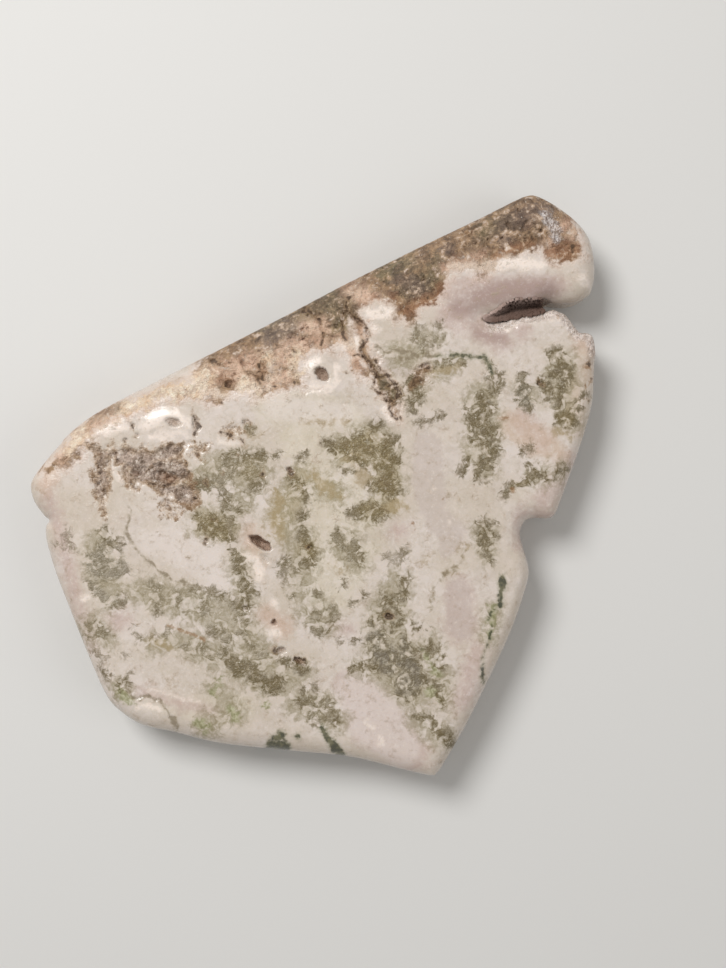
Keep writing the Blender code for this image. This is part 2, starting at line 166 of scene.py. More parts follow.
# Shares of its length between which it goes down to its full depth
FISSURE_DEEPENS = (-0.1, 0.6)
LEAST_HALF_WIDTH = 0.05
# The stone sags towards the fissure from some distance off
LIP_DROP = 0.9
LIP_START = 1.2
LIP_REACH = 3.4

# The crystals in it, in millimetres, and where their rows start and end along it
CRYSTAL_SEED = 11
CRYSTAL_ROWS = 60
CRYSTAL_ROW_ENDS = (0.04, 0.95)
CRYSTAL_SPAN = 0.95
CRYSTAL_SPACING = 0.19
CRYSTAL_RADII = (0.26, 0.44)
CRYSTAL_HEIGHTS = (0.12, 0.42)
CRYSTAL_SHARE_OF_SINK = 0.3
LEAST_CRYSTAL_SINK = 0.15
SHOULDER_SHARE = 0.45
SHOULDER_NARROWING = 0.96

# Sizes and depths of the relief of the rind, the brown druse, the sugary rim and the wall, in millimetres
LUMP_SIZE = 3.6
CRUMB_SIZE = 1.5
GRIT_SIZE = 0.62
RIND_SINK = 0.22
RIND_LUMPS = 0.32
RIND_CRUMBS = 0.26
RIND_GRIT = 0.16
RIND_CELLS = 0.25
RIND_CELL_SIZE = 1.25
RIND_PITS = 0.7
RIND_SMALL_PITS = 0.35
DRUSE_SINK = 0.5
DRUSE_LUMPS = 0.75
DRUSE_LUMP_SIZE = 1.9
DRUSE_GRIT = 0.3
DRUSE_CELLS = 0.5
DRUSE_CELL_SIZE = 0.95
DRUSE_PITS = 0.8
SUGAR_SINK = 0.1
SUGAR_GRIT = 0.2
SUGAR_CELLS = 0.34
SUGAR_CELL_SIZE = 0.55
FISSURE_CELLS = 0.3
FISSURE_CELL_SIZE = 0.7
HIGHEST_CRUMB = 0.05
WALL_SINK = 0.12
WALL_WAVES = 0.12
WALL_WAVE_SIZE = 9
RIND_WALL_SINK = 0.3
RIND_WALL_LUMPS = 0.35
RIND_WALL_LUMP_SIZE = 2.2

# How far round a feature the mesh stays close, in millimetres
RIND_MARGIN = 0.9
DRUSE_MARGIN = 0.8
BROKEN_MARGIN = 0.5
FISSURE_MARGIN = 3.2
HOLLOW_MARGIN = 0.7
CRACK_MARGIN = 0.6
LINE_MARGIN = 0.7
SPOT_MARGIN = 0.8
MOSS_MARGIN = 0.7

# Markings in pixels. A stroke gives u, v and half width at each of its points. The border gives u and v.
RIND_BORDER = [
    (582, 254), (574, 260), (560, 263), (551, 262), (544, 254), (538, 248), (524, 253), (512, 256),
    (500, 262), (494, 269), (486, 274), (478, 272), (470, 270), (460, 267), (450, 270), (446, 281),
    (440, 291), (438, 304), (424, 308), (411, 318), (397, 319), (392, 306), (378, 300), (364, 303),
    (352, 318), (345, 338), (330, 350), (312, 352), (300, 358), (303, 384), (285, 388), (262, 398),
    (248, 394), (232, 392), (214, 404), (196, 396), (190, 380), (215, 330), (520, 170), (546, 186),
    (561, 206), (570, 218), (578, 234), (582, 246),
]
RIND_STROKES = [
    (342, 336, 6, 349, 350, 5, 357, 362, 4, 366, 376, 3),
    (76, 436, 8, 90, 428, 7, 104, 416, 8, 120, 408, 9, 136, 407, 7),
    (140, 404, 5, 152, 399, 6, 165, 394, 8, 182, 392, 8, 198, 390, 8, 212, 384, 9),
    (48, 470, 5, 60, 462, 7, 72, 452, 8, 78, 440, 7),
    (352, 312, 5, 362, 330, 5, 364, 350, 4, 373, 368, 4, 384, 386, 6, 393, 402, 5, 396, 414, 3),
    (428, 369, 3, 420, 375, 4, 412, 388, 4),
]
BROWN_DRUSE = [
    (84, 444, 2, 96, 450, 6, 112, 453, 8, 128, 458, 11, 142, 462, 14),
    (142, 458, 11, 160, 455, 10, 176, 451, 9, 184, 446, 5),
    (140, 470, 13, 158, 472, 16, 176, 470, 12, 186, 476, 8), (160, 486, 9, 180, 492, 11, 192, 500, 8),
    (168, 504, 8, 172, 514, 5), (102, 456, 6, 103, 470, 8, 101, 488, 8, 104, 505, 5, 104, 515, 3),
    (190, 446, 4, 200, 447, 4, 211, 447, 2), (196, 452, 5, 199, 459, 4), (124, 468, 6, 134, 484, 6),
    (228, 431, 4, 238, 430, 4),
]
MOSS = [
    (105, 528, 3, 104, 540, 4), (92, 560, 5, 106, 548, 8, 118, 545, 6), (100, 565, 12, 120, 568, 9),
    (95, 573, 5, 108, 574, 6, 120, 574, 5),
    (90, 584, 4, 97, 592, 4, 103, 600, 4, 115, 603, 4, 124, 600, 4), (112, 606, 4),
    (66, 534, 4, 70, 546, 4), (55, 545, 1, 75, 549, 1), (88, 625, 4, 97, 628, 4),
    (92, 634, 5, 104, 634, 5), (95, 652, 3, 103, 658, 3), (103, 668, 3, 107, 676, 3),
    (133, 628, 4, 138, 636, 5), (153, 638, 4), (166, 633, 4), (125, 655, 2), (152, 585, 4, 158, 590, 5),
    (158, 600, 5, 157, 612, 3), (176, 592, 3, 180, 604, 5, 184, 610, 4),
    (192, 590, 4, 202, 587, 5, 210, 592, 5, 222, 596, 4), (203, 604, 5, 205, 612, 4),
    (183, 647, 3, 195, 648, 4, 204, 650, 6, 210, 655, 4), (214, 630, 6, 222, 632, 4, 230, 640, 4),
    (224, 654, 5, 228, 662, 5), (198, 520, 6, 210, 525, 13, 222, 530, 10),
    (188, 485, 4, 205, 484, 7, 225, 482, 7), (226, 458, 4, 234, 455, 5, 242, 454, 3),
    (242, 456, 5, 255, 458, 7, 268, 454, 4, 278, 451, 4),
    (222, 472, 6, 236, 466, 8, 250, 470, 10, 256, 480, 8, 252, 488, 5),
    (226, 490, 6, 225, 505, 4, 229, 515, 3, 232, 525, 2, 232, 535, 3, 231, 545, 2.5, 235, 558, 4, 240,
     568, 6, 244, 578, 5, 246, 584, 5, 246, 594, 4, 248, 602, 3, 250, 608, 2),
    (252, 592, 1.5, 262, 590, 1), (236, 605, 6, 240, 616, 6, 246, 622, 4),
    (238, 505, 1.5, 241, 514, 1.2), (292, 478, 4, 300, 487, 6, 306, 497, 4), (300, 458, 3, 306, 453, 3),
    (302, 515, 5, 303, 525, 3), (303, 536, 6, 308, 548, 6, 313, 556, 5), (303, 560, 4, 310, 565, 4),
    (284, 562, 5, 282, 572, 6, 286, 582, 3), (295, 570, 3), (293, 595, 3), (298, 585, 2),
    (337, 535, 5, 345, 542, 7, 355, 552, 9, 362, 560, 5), (352, 512, 6, 366, 509, 7, 378, 514, 8),
    (328, 442, 5, 335, 448, 5), (345, 448, 8, 360, 440, 8, 372, 446, 10, 386, 444, 10, 396, 440, 6),
    (360, 458, 10, 378, 460, 13, 392, 462, 9), (376, 425, 6, 374, 434, 6),
    (388, 475, 8, 385, 485, 11, 392, 492, 8), (345, 472, 5, 352, 468, 5), (370, 485, 4, 380, 490, 6),
    (388, 558, 4, 398, 560, 3, 404, 552, 5), (412, 382, 6, 416, 398, 8, 412, 410, 5), (394, 394, 8),
    (418, 424, 2, 430, 419, 3, 441, 415, 2.5), (499, 375, 3, 500, 385, 3, 494, 392, 4),
    (488, 362, 2.4, 492, 376, 3.4, 493, 390, 4), (482, 400, 6, 486, 410, 8, 480, 415, 9),
    (468, 410, 4, 472, 420, 7, 484, 425, 10, 490, 435, 8), (476, 438, 6, 486, 448, 9, 493, 452, 6),
    (484, 458, 8, 478, 468, 7, 475, 476, 5), (463, 470, 6, 470, 462, 3), (492, 466, 3), (485, 481, 3),
    (420, 326, 2, 418, 336, 6, 425, 346, 4), (439, 324, 2, 438, 335, 5, 434, 346, 4),
    (438, 363, 4, 450, 361, 4), (462, 364, 3), (556, 355, 8, 560, 365, 9, 566, 374, 8, 555, 375, 5),
    (524, 385, 6, 522, 398, 6, 527, 406, 5), (524, 376, 4), (545, 385, 8, 548, 395, 5),
    (562, 386, 3, 558, 405, 5, 558, 418, 6), (565, 416, 6, 572, 420, 6, 568, 424, 4), (585, 395, 4),
    (578, 405, 5), (522, 452, 3), (530, 447, 4), (528, 465, 3, 535, 468, 4),
    (535, 473, 4, 548, 477, 4, 558, 471, 3, 566, 468, 2),
    (540, 475, 3, 525, 481, 4, 512, 486, 4, 504, 493, 4), (484, 523, 6, 484, 532, 7, 485, 541, 5),
    (490, 522, 2, 497, 523, 1.5), (490, 533, 3, 497, 538, 2),
    (486, 550, 2.5, 488, 557, 1.5, 494, 563, 1), (318, 600, 3, 315, 610, 5, 318, 615, 5),
    (332, 610, 4, 334, 618, 3, 328, 626, 3, 318, 632, 5, 312, 628, 3), (316, 595, 4),
    (344, 582, 3, 342, 590, 2), (363, 594, 2.5), (352, 603, 1.5, 358, 600, 1.5),
    (238, 632, 2, 248, 642, 2, 256, 650, 3, 263, 656, 4),
    (232, 662, 6, 242, 668, 8, 252, 668, 7, 258, 675, 6),
    (250, 678, 4, 262, 682, 5, 274, 684, 8, 280, 680, 5), (272, 690, 5), (278, 656, 5, 285, 662, 5),
    (296, 666, 6, 304, 670, 5), (304, 690, 3), (314, 686, 3),
    (404, 576, 3, 404, 585, 4, 403, 595, 4, 398, 600, 3), (385, 598, 5, 392, 604, 6), (386, 613, 5),
    (398, 612, 4), (375, 625, 7, 382, 630, 8, 372, 635, 7, 362, 638, 4, 348, 641, 1.5, 340, 642, 1),
    (378, 645, 6, 376, 655, 6, 385, 658, 7, 394, 656, 6), (392, 648, 3), (392, 625, 4, 400, 622, 3),
    (350, 668, 1.5, 360, 668, 3, 372, 667, 5, 385, 668, 6, 393, 672, 3),
    (405, 640, 4, 404, 650, 6, 410, 652, 4), (402, 662, 6, 412, 665, 8, 418, 655, 6),
    (404, 680, 8, 415, 678, 8, 425, 680, 6), (402, 692, 6, 412, 692, 6, 408, 697, 4),
    (412, 626, 3, 426, 630, 2), (428, 640, 3, 430, 650, 4), (434, 648, 3, 440, 658, 5, 442, 668, 4),
    (437, 686, 4), (438, 695, 4, 443, 703, 3), (414, 714, 3, 422, 718, 3.5, 432, 720, 4, 434, 727, 3),
    (440, 730, 4, 445, 736, 5, 450, 742, 4), (300, 702, 5, 310, 704, 6, 322, 705, 5, 334, 708, 4),
    (314, 714, 5, 316, 722, 4), (330, 716, 6, 336, 722, 3), (129, 675, 1.5, 127, 682, 3, 120, 686, 3),
    (250, 430, 4),
]
SOFT_TAN = [
    (430, 373, 5, 445, 369, 6, 459, 366, 5), (412, 382, 5, 420, 378, 5),
    (276, 492, 3, 280, 500, 5, 276, 515, 8, 274, 530, 8, 280, 540, 4),
    (315, 474, 5, 322, 485, 8, 335, 493, 4, 342, 496, 3), (384, 508, 4, 396, 505, 8, 404, 506, 6),
    (466, 550, 4, 460, 560, 3, 455, 568, 2, 446, 574, 1.5, 438, 582, 1.5, 433, 592, 1.5, 431, 604, 1.2,
     430, 612, 1), (250, 430, 8), (555, 433, 3, 570, 438, 3), (300, 425, 3, 320, 420, 4, 345, 422, 4),
    (150, 640, 5, 170, 648, 5), (425, 560, 3), (330, 560, 4, 340, 570, 4),
    (365, 480, 9, 350, 455, 8, 372, 440, 8),
]
DEEP_GREEN = [
    (436, 357, 0.5, 446, 355, 1, 456, 354, 1.8, 466, 356, 2.2, 476, 357, 2, 485, 357, 2.4, 489, 364, 1.6,
     492, 374, 1), (503, 575, 2, 502, 583, 4.4, 501, 591, 3.6, 501, 600, 2, 500, 607, 1.4),
    (497, 609, 0.8, 490, 613, 1, 489, 620, 0.8),
    (492, 626, 1.2, 490, 636, 1.3, 487, 642, 0.8, 485, 650, 1.2, 483, 660, 1.4, 482, 672, 0.9, 483, 681,
     1.8), (322, 728, 2.5, 326, 736, 3.5, 330, 742, 4, 336, 748, 5, 341, 754, 4),
    (280, 736, 5, 276, 738, 4), (298, 736, 3), (270, 745, 5, 284, 747, 6),
]
LENS_BORDER_LINE = [
    (128, 688, 1.6, 132, 697, 1.6, 140, 697, 1.8, 150, 697, 1.8, 158, 700, 1.8, 165, 706, 1.6),
    (129, 508, 0.7, 130, 520, 0.7, 127, 535, 2.0, 132, 545, 0.8, 142, 555, 0.8, 152, 565, 1.8, 165, 575,
     0.8, 175, 580, 1, 190, 585, 1, 205, 586, 1),
    (166, 708, 1.2, 172, 716, 2, 176, 724, 2.4, 176, 730, 2),
    (225, 505, 1, 229, 520, 1.2, 232, 535, 1.2),
    (466, 550, 1.6, 460, 560, 1.4, 455, 568, 1.2, 446, 574, 1, 438, 582, 1, 433, 592, 1, 431, 604, 0.9,
     430, 612, 0.8),
    (376, 348, 1.4, 386, 351, 1.6, 398, 352, 1.8, 412, 353, 1.8, 426, 358, 1.8, 440, 356, 1.2),
    (395, 356, 1.2, 404, 361, 1.2, 420, 356, 1.2), (428, 346, 1.6, 427, 356, 1.8),
]
PALE_GREEN = [
    (205, 727, 6, 196, 722, 4), (232, 710, 5, 236, 718, 5), (221, 678, 3, 217, 686, 4, 214, 694, 4),
    (266, 704, 4), (120, 690, 5, 130, 702, 5), (425, 655, 3, 437, 675, 4), (430, 690, 4, 440, 700, 4),
    (494, 610, 4, 492, 622, 4, 490, 634, 3), (403, 438, 3), (325, 330, 6, 340, 326, 6),
    (380, 275, 7, 396, 270, 6), (484, 232, 5),
]
STAIN = [
    (513, 490, 3.2), (585, 367, 2, 591, 369, 2), (586, 388, 2, 592, 381, 2),
    (167, 625, 1.4, 180, 630, 1.4, 192, 634, 1.4, 204, 640, 2), (412, 523, 1.6), (442, 499, 1),
    (451, 486, 1), (498, 418, 1, 508, 418, 1), (412, 387, 2.4), (558, 318, 3),
]
RIND_GREEN = [
    (270, 330, 14, 300, 318, 14), (300, 310, 12, 330, 300, 14, 340, 330, 8), (385, 272, 8, 410, 262, 8),
    (405, 290, 8, 432, 280, 10, 440, 262, 8), (484, 232, 8, 505, 222, 8), (348, 300, 7, 348, 330, 7),
    (376, 360, 5, 386, 384, 9, 398, 404, 7),
]
RIND_PINK = [
    (342, 342, 8, 350, 352, 7, 358, 364, 6), (240, 365, 10, 262, 362, 13, 285, 354, 12),
    (288, 345, 10, 322, 345, 9), (352, 290, 8, 370, 300, 10, 385, 306, 7),
    (200, 380, 10, 222, 372, 10, 250, 382, 10, 285, 378, 8),
    (70, 444, 8, 100, 424, 8, 135, 408, 8, 205, 388, 10), (303, 328, 8, 322, 326, 8),
    (445, 268, 5, 480, 256, 5), (60, 455, 6, 76, 440, 6), (362, 326, 6, 367, 342, 5), (390, 412, 5),
    (548, 244, 5, 552, 256, 4), (160, 398, 7, 200, 388, 8), (565, 225, 6, 580, 240, 5),
    (300, 372, 5, 296, 356, 6),
]
RUST = [
    (550, 254, 7, 565, 252, 10, 575, 250, 6),
    (452, 262, 4, 470, 262, 4, 486, 267, 5, 498, 256, 4, 514, 249, 4, 532, 243, 3),
    (441, 288, 5, 438, 300, 5, 424, 302, 6, 404, 312, 5), (228, 380, 6), (262, 372, 5), (394, 300, 4),
]
# White spots, partly painted highlights: tiny dots are painted glints, patches on domes partly painted glare
WHITE_AND_HIGHLIGHTS = [
    (100, 430, 5, 112, 428, 8, 122, 426, 5), (145, 426, 5, 160, 416, 6, 176, 414, 6, 188, 424, 4),
    (150, 437, 4, 168, 435, 6, 184, 434, 4), (112, 470, 3, 120, 480, 3), (384, 408, 4, 390, 420, 3),
    (345, 345, 6, 360, 342, 6), (368, 314, 5, 390, 312, 6), (374, 328, 4),
    (312, 386, 5, 324, 389, 5, 336, 384, 5, 338, 368, 4), (306, 366, 4, 318, 359, 4),
    (240, 392, 4, 268, 388, 4), (205, 392, 5, 226, 396, 4), (496, 326, 2.4, 508, 328, 4, 520, 321, 3),
    (452, 264, 5, 480, 266, 6, 505, 262, 6, 540, 266, 6), (526, 316, 3, 545, 315, 3, 558, 318, 3),
    (244, 557, 6, 252, 562, 9, 258, 573, 8), (246, 608, 3), (265, 634, 4, 278, 632, 4),
    (273, 603, 2, 276, 608, 2), (136, 707, 2, 150, 706, 3, 160, 710, 2), (220, 442, 2, 242, 445, 2),
    (81, 598, 3, 87, 598, 3), (272, 696, 2, 278, 697, 2), (292, 674, 2, 297, 675, 2),
    (583, 278, 3, 589, 286, 3), (150, 690, 0.8, 200, 702, 0.8), (434, 490, 1.4), (449, 524, 1.6),
    (185, 631, 1.2), (213, 648, 1.6), (195, 653, 1.2), (402, 653, 1.4), (366, 722, 1, 373, 727, 1.2),
    (380, 737, 1, 382, 746, 1.2),
]
PINK = [
    (243, 520, 4, 248, 532, 5, 250, 545, 5), (268, 616, 7, 282, 626, 7),
    (445, 290, 12, 480, 288, 14, 520, 290, 12, 560, 285, 8), (450, 315, 14, 478, 325, 12, 500, 340, 12),
    (520, 513, 5, 552, 515, 5), (517, 522, 4, 519, 544, 4), (460, 592, 14, 460, 628, 14),
    (350, 685, 16, 375, 722, 26, 410, 755, 18), (332, 625, 5, 350, 630, 5), (582, 341, 5, 590, 345, 5),
    (46, 485, 6, 52, 508, 6, 60, 530, 6, 68, 565, 6, 78, 605, 6, 94, 645, 6),
    (570, 460, 10, 545, 500, 10), (520, 420, 10, 540, 440, 12), (460, 700, 10, 480, 650, 8),
    (400, 530, 8), (520, 330, 10), (120, 620, 10), (142, 692, 5, 175, 702, 6, 215, 712, 6),
]
MILKY = [
    (150, 542, 14, 175, 545, 20, 205, 558, 22, 222, 578, 12), (356, 690, 20, 376, 722, 26, 402, 750, 18),
    (275, 408, 12, 310, 412, 14, 345, 414, 10),
]
LENS = [
    (428, 445, 14, 428, 480, 17, 432, 505, 15), (440, 522, 15, 452, 532, 14, 446, 550, 8),
    (458, 592, 13, 462, 628, 13), (384, 364, 6, 398, 368, 9, 408, 372, 7),
]
VEIL = [
    (494, 612, 5, 491, 626, 5, 489, 638, 4),
    (140, 590, 10, 165, 598, 13, 195, 606, 16, 225, 615, 18, 245, 640, 17, 262, 668, 16),
    (150, 645, 6, 178, 640, 8, 210, 652, 12, 240, 668, 12), (100, 545, 12, 105, 575, 16, 110, 598, 10),
    (205, 475, 14, 232, 470, 18, 255, 468, 16, 240, 500, 12, 228, 525, 12), (205, 522, 14, 222, 530, 12),
    (345, 450, 14, 372, 445, 20, 388, 470, 16, 385, 500, 14, 370, 512, 10),
    (398, 580, 10, 392, 605, 18, 385, 635, 20, 396, 660, 26, 412, 685, 20), (355, 668, 6, 380, 668, 10),
    (428, 645, 10, 440, 680, 12, 443, 700, 8), (298, 478, 12, 285, 515, 16, 305, 548, 14, 300, 590, 10),
    (482, 400, 14, 482, 425, 16, 482, 460, 14), (560, 368, 15, 566, 412, 12, 572, 424, 8),
    (526, 392, 10), (545, 388, 9), (316, 612, 14), (325, 620, 12),
    (300, 704, 12, 325, 710, 14, 334, 720, 10), (345, 545, 14, 358, 558, 12), (440, 368, 9, 455, 362, 7),
    (415, 392, 9), (246, 600, 9, 238, 560, 8), (420, 336, 6), (437, 337, 6), (90, 628, 10, 104, 640, 8),
    (258, 680, 12, 280, 684, 10, 300, 672, 10), (535, 475, 9, 560, 472, 7), (484, 532, 9, 488, 556, 4),
    (318, 484, 10, 338, 494, 8), (420, 720, 9, 446, 738, 8), (395, 350, 6, 420, 352, 7, 400, 362, 8),
    (205, 725, 10, 235, 714, 8, 215, 690, 8), (120, 690, 8),
]
# Cream patches of the rind; along the upper-left rounded edge, where it faces the light, a painted highlight
RIND_CREAM_AND_HIGHLIGHT = [
    (120, 410, 6, 140, 402, 8, 170, 392, 9, 200, 384, 10), (196, 392, 8, 205, 376, 8),
    (244, 386, 7, 256, 390, 6), (270, 372, 5, 268, 356, 5), (70, 450, 5, 84, 430, 4),
    (300, 372, 6, 296, 356, 5),
]
RIND_GREY = [
    (505, 225, 8, 530, 215, 12, 545, 210, 8), (268, 340, 9, 290, 325, 8), (505, 240, 8),
    (420, 290, 8, 400, 280, 6), (448, 250, 6),
]
GOLDEN = [
    (345, 450, 10, 372, 448, 16, 386, 470, 14, 385, 500, 12, 370, 510, 10), (276, 492, 6, 277, 530, 10),
    (205, 522, 12, 222, 530, 12), (315, 474, 8, 335, 493, 8), (396, 505, 10), (300, 478, 8, 285, 515, 8),
    (250, 470, 10), (308, 550, 8), (565, 418, 8), (520, 482, 8),
]
FAINT = [
    (155, 590, 14, 180, 598, 16, 205, 606, 16, 228, 622, 14), (150, 640, 9, 185, 648, 9, 210, 652, 8),
    (90, 560, 14, 108, 568, 18, 104, 598, 12), (90, 628, 9, 104, 650, 9), (318, 612, 16), (292, 582, 14),
    (430, 340, 12), (440, 370, 10), (345, 548, 12), (392, 558, 10), (225, 475, 12, 250, 470, 10),
    (238, 640, 8, 262, 656, 8), (130, 632, 8, 165, 634, 8), (66, 540, 10), (318, 710, 12),
]
GREY_MOSS = [
    (372, 640, 12, 392, 650, 18, 408, 682, 14), (90, 560, 12, 112, 565, 16, 104, 590, 12),
    (526, 392, 12),
]
PEACH = [
    (512, 425, 12, 540, 442, 14, 560, 455, 8), (575, 385, 7, 574, 430, 7), (250, 530, 5, 256, 570, 8),
    (268, 616, 8, 282, 628, 8), (46, 485, 6, 60, 455, 6), (584, 345, 6, 588, 375, 6),
]
CREAM = [
    (300, 440, 20, 330, 470, 26, 345, 540, 34, 330, 590, 22),
    (270, 408, 14, 300, 412, 18, 340, 412, 16, 360, 425, 8), (150, 700, 8, 195, 708, 12, 245, 706, 8),
]
SILVER = [
    (545, 215, 5, 553, 227, 7, 556, 236, 5),
]
SHADE = [
    (500, 214, 5, 510, 230, 6), (524, 240, 6, 536, 236, 7, 540, 222, 6), (405, 288, 7, 432, 298, 8),
    (384, 300, 4, 392, 310, 4), (304, 308, 5, 316, 308, 5), (340, 300, 6, 352, 312, 8), (228, 382, 4),
    (262, 374, 3), (355, 290, 5), (415, 265, 5, 425, 255, 5), (470, 246, 6, 480, 238, 5),
    (114, 410, 4, 104, 416, 3), (560, 250, 5, 574, 250, 5), (488, 236, 5, 498, 228, 5),
    (140, 466, 6, 156, 474, 8, 172, 476, 6), (102, 462, 3, 101, 490, 3), (186, 490, 4),
]
# Painted shade in a mauve tone: over the arm where it curves down into the fissure, and below the fissure's
# tip
MAUVE_SHADE = [
    (458, 308, 8, 484, 298, 11, 512, 290, 11, 550, 288, 8), (478, 334, 4, 500, 338, 5),
]
DARK = [
    (348, 298, 1.8, 349, 310, 2, 353, 318, 2, 359, 322, 3, 366, 326, 2.6, 370, 334, 1.6, 369, 342, 1.2),
    (361, 338, 1.2, 362, 346, 1.5, 366, 356, 1.8, 371, 366, 2.2, 376, 376, 2.6, 375, 387, 1.5, 379, 394,
     1.5, 390, 402, 2, 391, 412, 1.7, 396, 418, 1.7, 402, 416, 1.4),
    (353, 356, 1.5, 362, 354, 1.5, 369, 361, 1.5),
    (376, 362, 1.2, 383, 370, 1.5, 393, 380, 1.8, 397, 388, 1.7, 400, 398, 1.4),
    (384, 372, 1.2, 376, 378, 1.2), (347, 308, 1.5, 342, 318, 1.5, 342, 328, 1.7, 345, 338, 1.4),
    (304, 308, 2, 312, 314, 1.8, 320, 322, 1.6), (324, 332, 1.2, 322, 345, 1.2), (228, 384, 4),
    (212, 362, 2, 222, 366, 2.4), (243, 372, 1.4, 262, 372, 2), (421, 366, 1.2, 428, 367, 1.8),
    (588, 366, 0.7, 592, 364, 0.7), (586, 381, 0.7, 591, 379, 0.7), (584, 402, 0.6, 589, 399, 0.6),
    (258, 366, 1.6, 262, 372, 1.6, 262, 378, 1.6), (259, 383, 2.6), (275, 384, 2.2), (295, 383, 2.6),
    (300, 380, 1.5), (253, 393, 2.4), (292, 350, 2), (276, 347, 2.4), (258, 350, 2.6), (343, 372, 2),
    (222, 403, 1.5), (124, 441, 2), (132, 426, 1.6), (137, 437, 1.5),
    (192, 412, 1.4, 197, 419, 1.8, 199, 427, 2.2, 196, 435, 1.4), (290, 471, 3), (206, 482, 1.5),
    (263, 475, 1.8), (206, 542, 1.6), (214, 521, 1.4), (308, 548, 1.8), (388, 615, 2.6),
    (421, 368, 2, 429, 367, 2), (540, 382, 2.4), (37, 490, 1.4), (273, 651, 2), (296, 658, 3),
    (304, 661, 1.8), (249, 421, 2.4), (390, 385, 2, 402, 392, 2), (238, 440, 1.6, 243, 446, 1.6),
    (222, 434, 1.8, 232, 436, 1.8), (150, 484, 1.6, 164, 484, 2, 178, 479, 1.6),
    (573, 247, 2, 575, 254, 2), (150, 470, 2), (164, 474, 2), (532, 238, 2.4), (306, 309, 2.4),
    (430, 299, 2), (418, 301, 1.6), (480, 262, 1.6), (106, 444, 1.6), (116, 452, 1.8), (98, 468, 1.8),
    (104, 490, 1.6), (186, 462, 1.8), (196, 498, 1.6), (240, 456, 1.6), (222, 472, 1.4),
]

# The fields that the strokes make: some are frayed at their borders, the rest are plain
FRAYED_FIELDS = {
    "moss": MOSS, "veil": VEIL, "dark": DARK, "white_and_highlights": WHITE_AND_HIGHLIGHTS, "tan": SOFT_TAN,
    "border_line": LENS_BORDER_LINE,
}
PLAIN_FIELDS = {
    "deep_green": DEEP_GREEN, "pale_green": PALE_GREEN, "grey_moss": GREY_MOSS, "golden": GOLDEN,
    "faint": FAINT, "peach": PEACH, "stain": STAIN, "rust": RUST, "pink": PINK, "lens": LENS,
    "milky": MILKY, "cream": CREAM, "mauve_shade": MAUVE_SHADE, "shade": SHADE, "silver": SILVER,
    "rind_green": RIND_GREEN, "rind_pink": RIND_PINK, "rind_cream_and_highlight": RIND_CREAM_AND_HIGHLIGHT, "rind_grey": RIND_GREY,
}

# How far a stroke is looked for, and how much the marks below the rounded edge drift with depth, in pixels
STROKE_SEARCH = 14.0
DRIFT_BELOW_MM = 9.0
DRIFT_U_PER_MM = 1.6
DRIFT_V_PER_MM = 0.9

# The seed makes the noise the same each run, and the levels keep relief and borders from matching
NOISE_SEED = 7
GRAIN_LEVEL = 0.0
WANDER_LEVEL = 5.0
# Sizes and amounts of the noise that moves borders, strands and cracks, in millimetres
BORDER_WANDERS = ((2.2, 1.1), (0.7, 0.45))
FRAY_WANDERS = ((1.7, 0.75), (0.6, 0.3))
CRACK_WANDERS = ((1.7, 0.8), (0.6, 0.3))
SUGARY_WANDER = (1.5, 0.8)
FISSURE_WANDER = (1.8, 0.45)
HOLLOW_WANDER = (0.9, 0.35)

# How much less warm the colours are made, channel by channel, and the brightest that any may be
LESS_WARM = (1.1, 1.18, 1.29)
BRIGHTEST = 0.95
# How far the noise of a material spreads, and how deep inside and far outside a stroke it still counts
NOISE_SPREAD = 4.6
DEEPEST_INSIDE = 0.9
FARTHEST_OUTSIDE = -2.5


def along_route(points, route):
    """Distance of each point from an open route, and how far along it the nearest place is."""
    starts, ends = route[:-1], route[1:]
    runs = ends - starts
    lengths = np.linalg.norm(runs, axis=1)
    travelled = np.concatenate([[0.0], np.cumsum(lengths)])
    nearest = np.full(len(points), np.inf)
    place = np.zeros(len(points))
    for start, run, length, before in zip(starts, runs, lengths, travelled):
        share = np.clip((points - start) @ run / length**2, 0, 1)
        distance = np.linalg.norm(points - start - share[:, None] * run, axis=1)
        closer = distance < nearest
        nearest[closer] = distance[closer]
        place[closer] = before + share[closer] * length
    return nearest, place / travelled[-1]


def shares_along(route):
    """How far along a route each of its points is, from 0 to 1."""
    travelled = np.concatenate([[0.0], np.cumsum(np.linalg.norm(np.diff(route, axis=0), axis=1))])
    return travelled / travelled[-1]


def depth_inside(points, border):
    """Distance from a closed border, positive inside it and negative outside."""
    border = np.asarray(border, dtype=float)
    distance, _ = along_route(points, np.vstack([border, border[:1]]))
    x, y = points[:, 0], points[:, 1]
    inside = np.zeros(len(points), dtype=bool)
    for (x1, y1), (x2, y2) in zip(border, np.roll(border, -1, 0)):
        if y1 != y2:
            crosses = (y1 > y) != (y2 > y)
            inside ^= crosses & (x < (x2 - x1) * (y - y1) / (y2 - y1) + x1)
    return np.where(inside, distance, -distance)


def smooth_step(value, low, high):
    t = np.clip((value - low) / (high - low), 0, 1)
    return t * t * (3 - 2 * t)


def smooth_closed_outline(corners, step):
    """A closed Catmull-Rom curve through the corners, sampled about every step."""
    corners = np.array(corners)
    before, after, beyond = np.roll(corners, 1, 0), np.roll(corners, -1, 0), np.roll(corners, -2, 0)
    samples = []
    for p0, p1, p2, p3 in zip(before, corners, after, beyond):
        count = max(1, round(np.linalg.norm(p2 - p1) / step))
        for t in np.arange(count) / count:
            bend = 2 * p0 - 5 * p1 + 4 * p2 - p3
            twist = 3 * p1 - p0 - 3 * p2 + p3
            samples.append(p1 + 0.5 * t * (p2 - p0 + t * (bend + t * twist)))
    return np.array(samples)


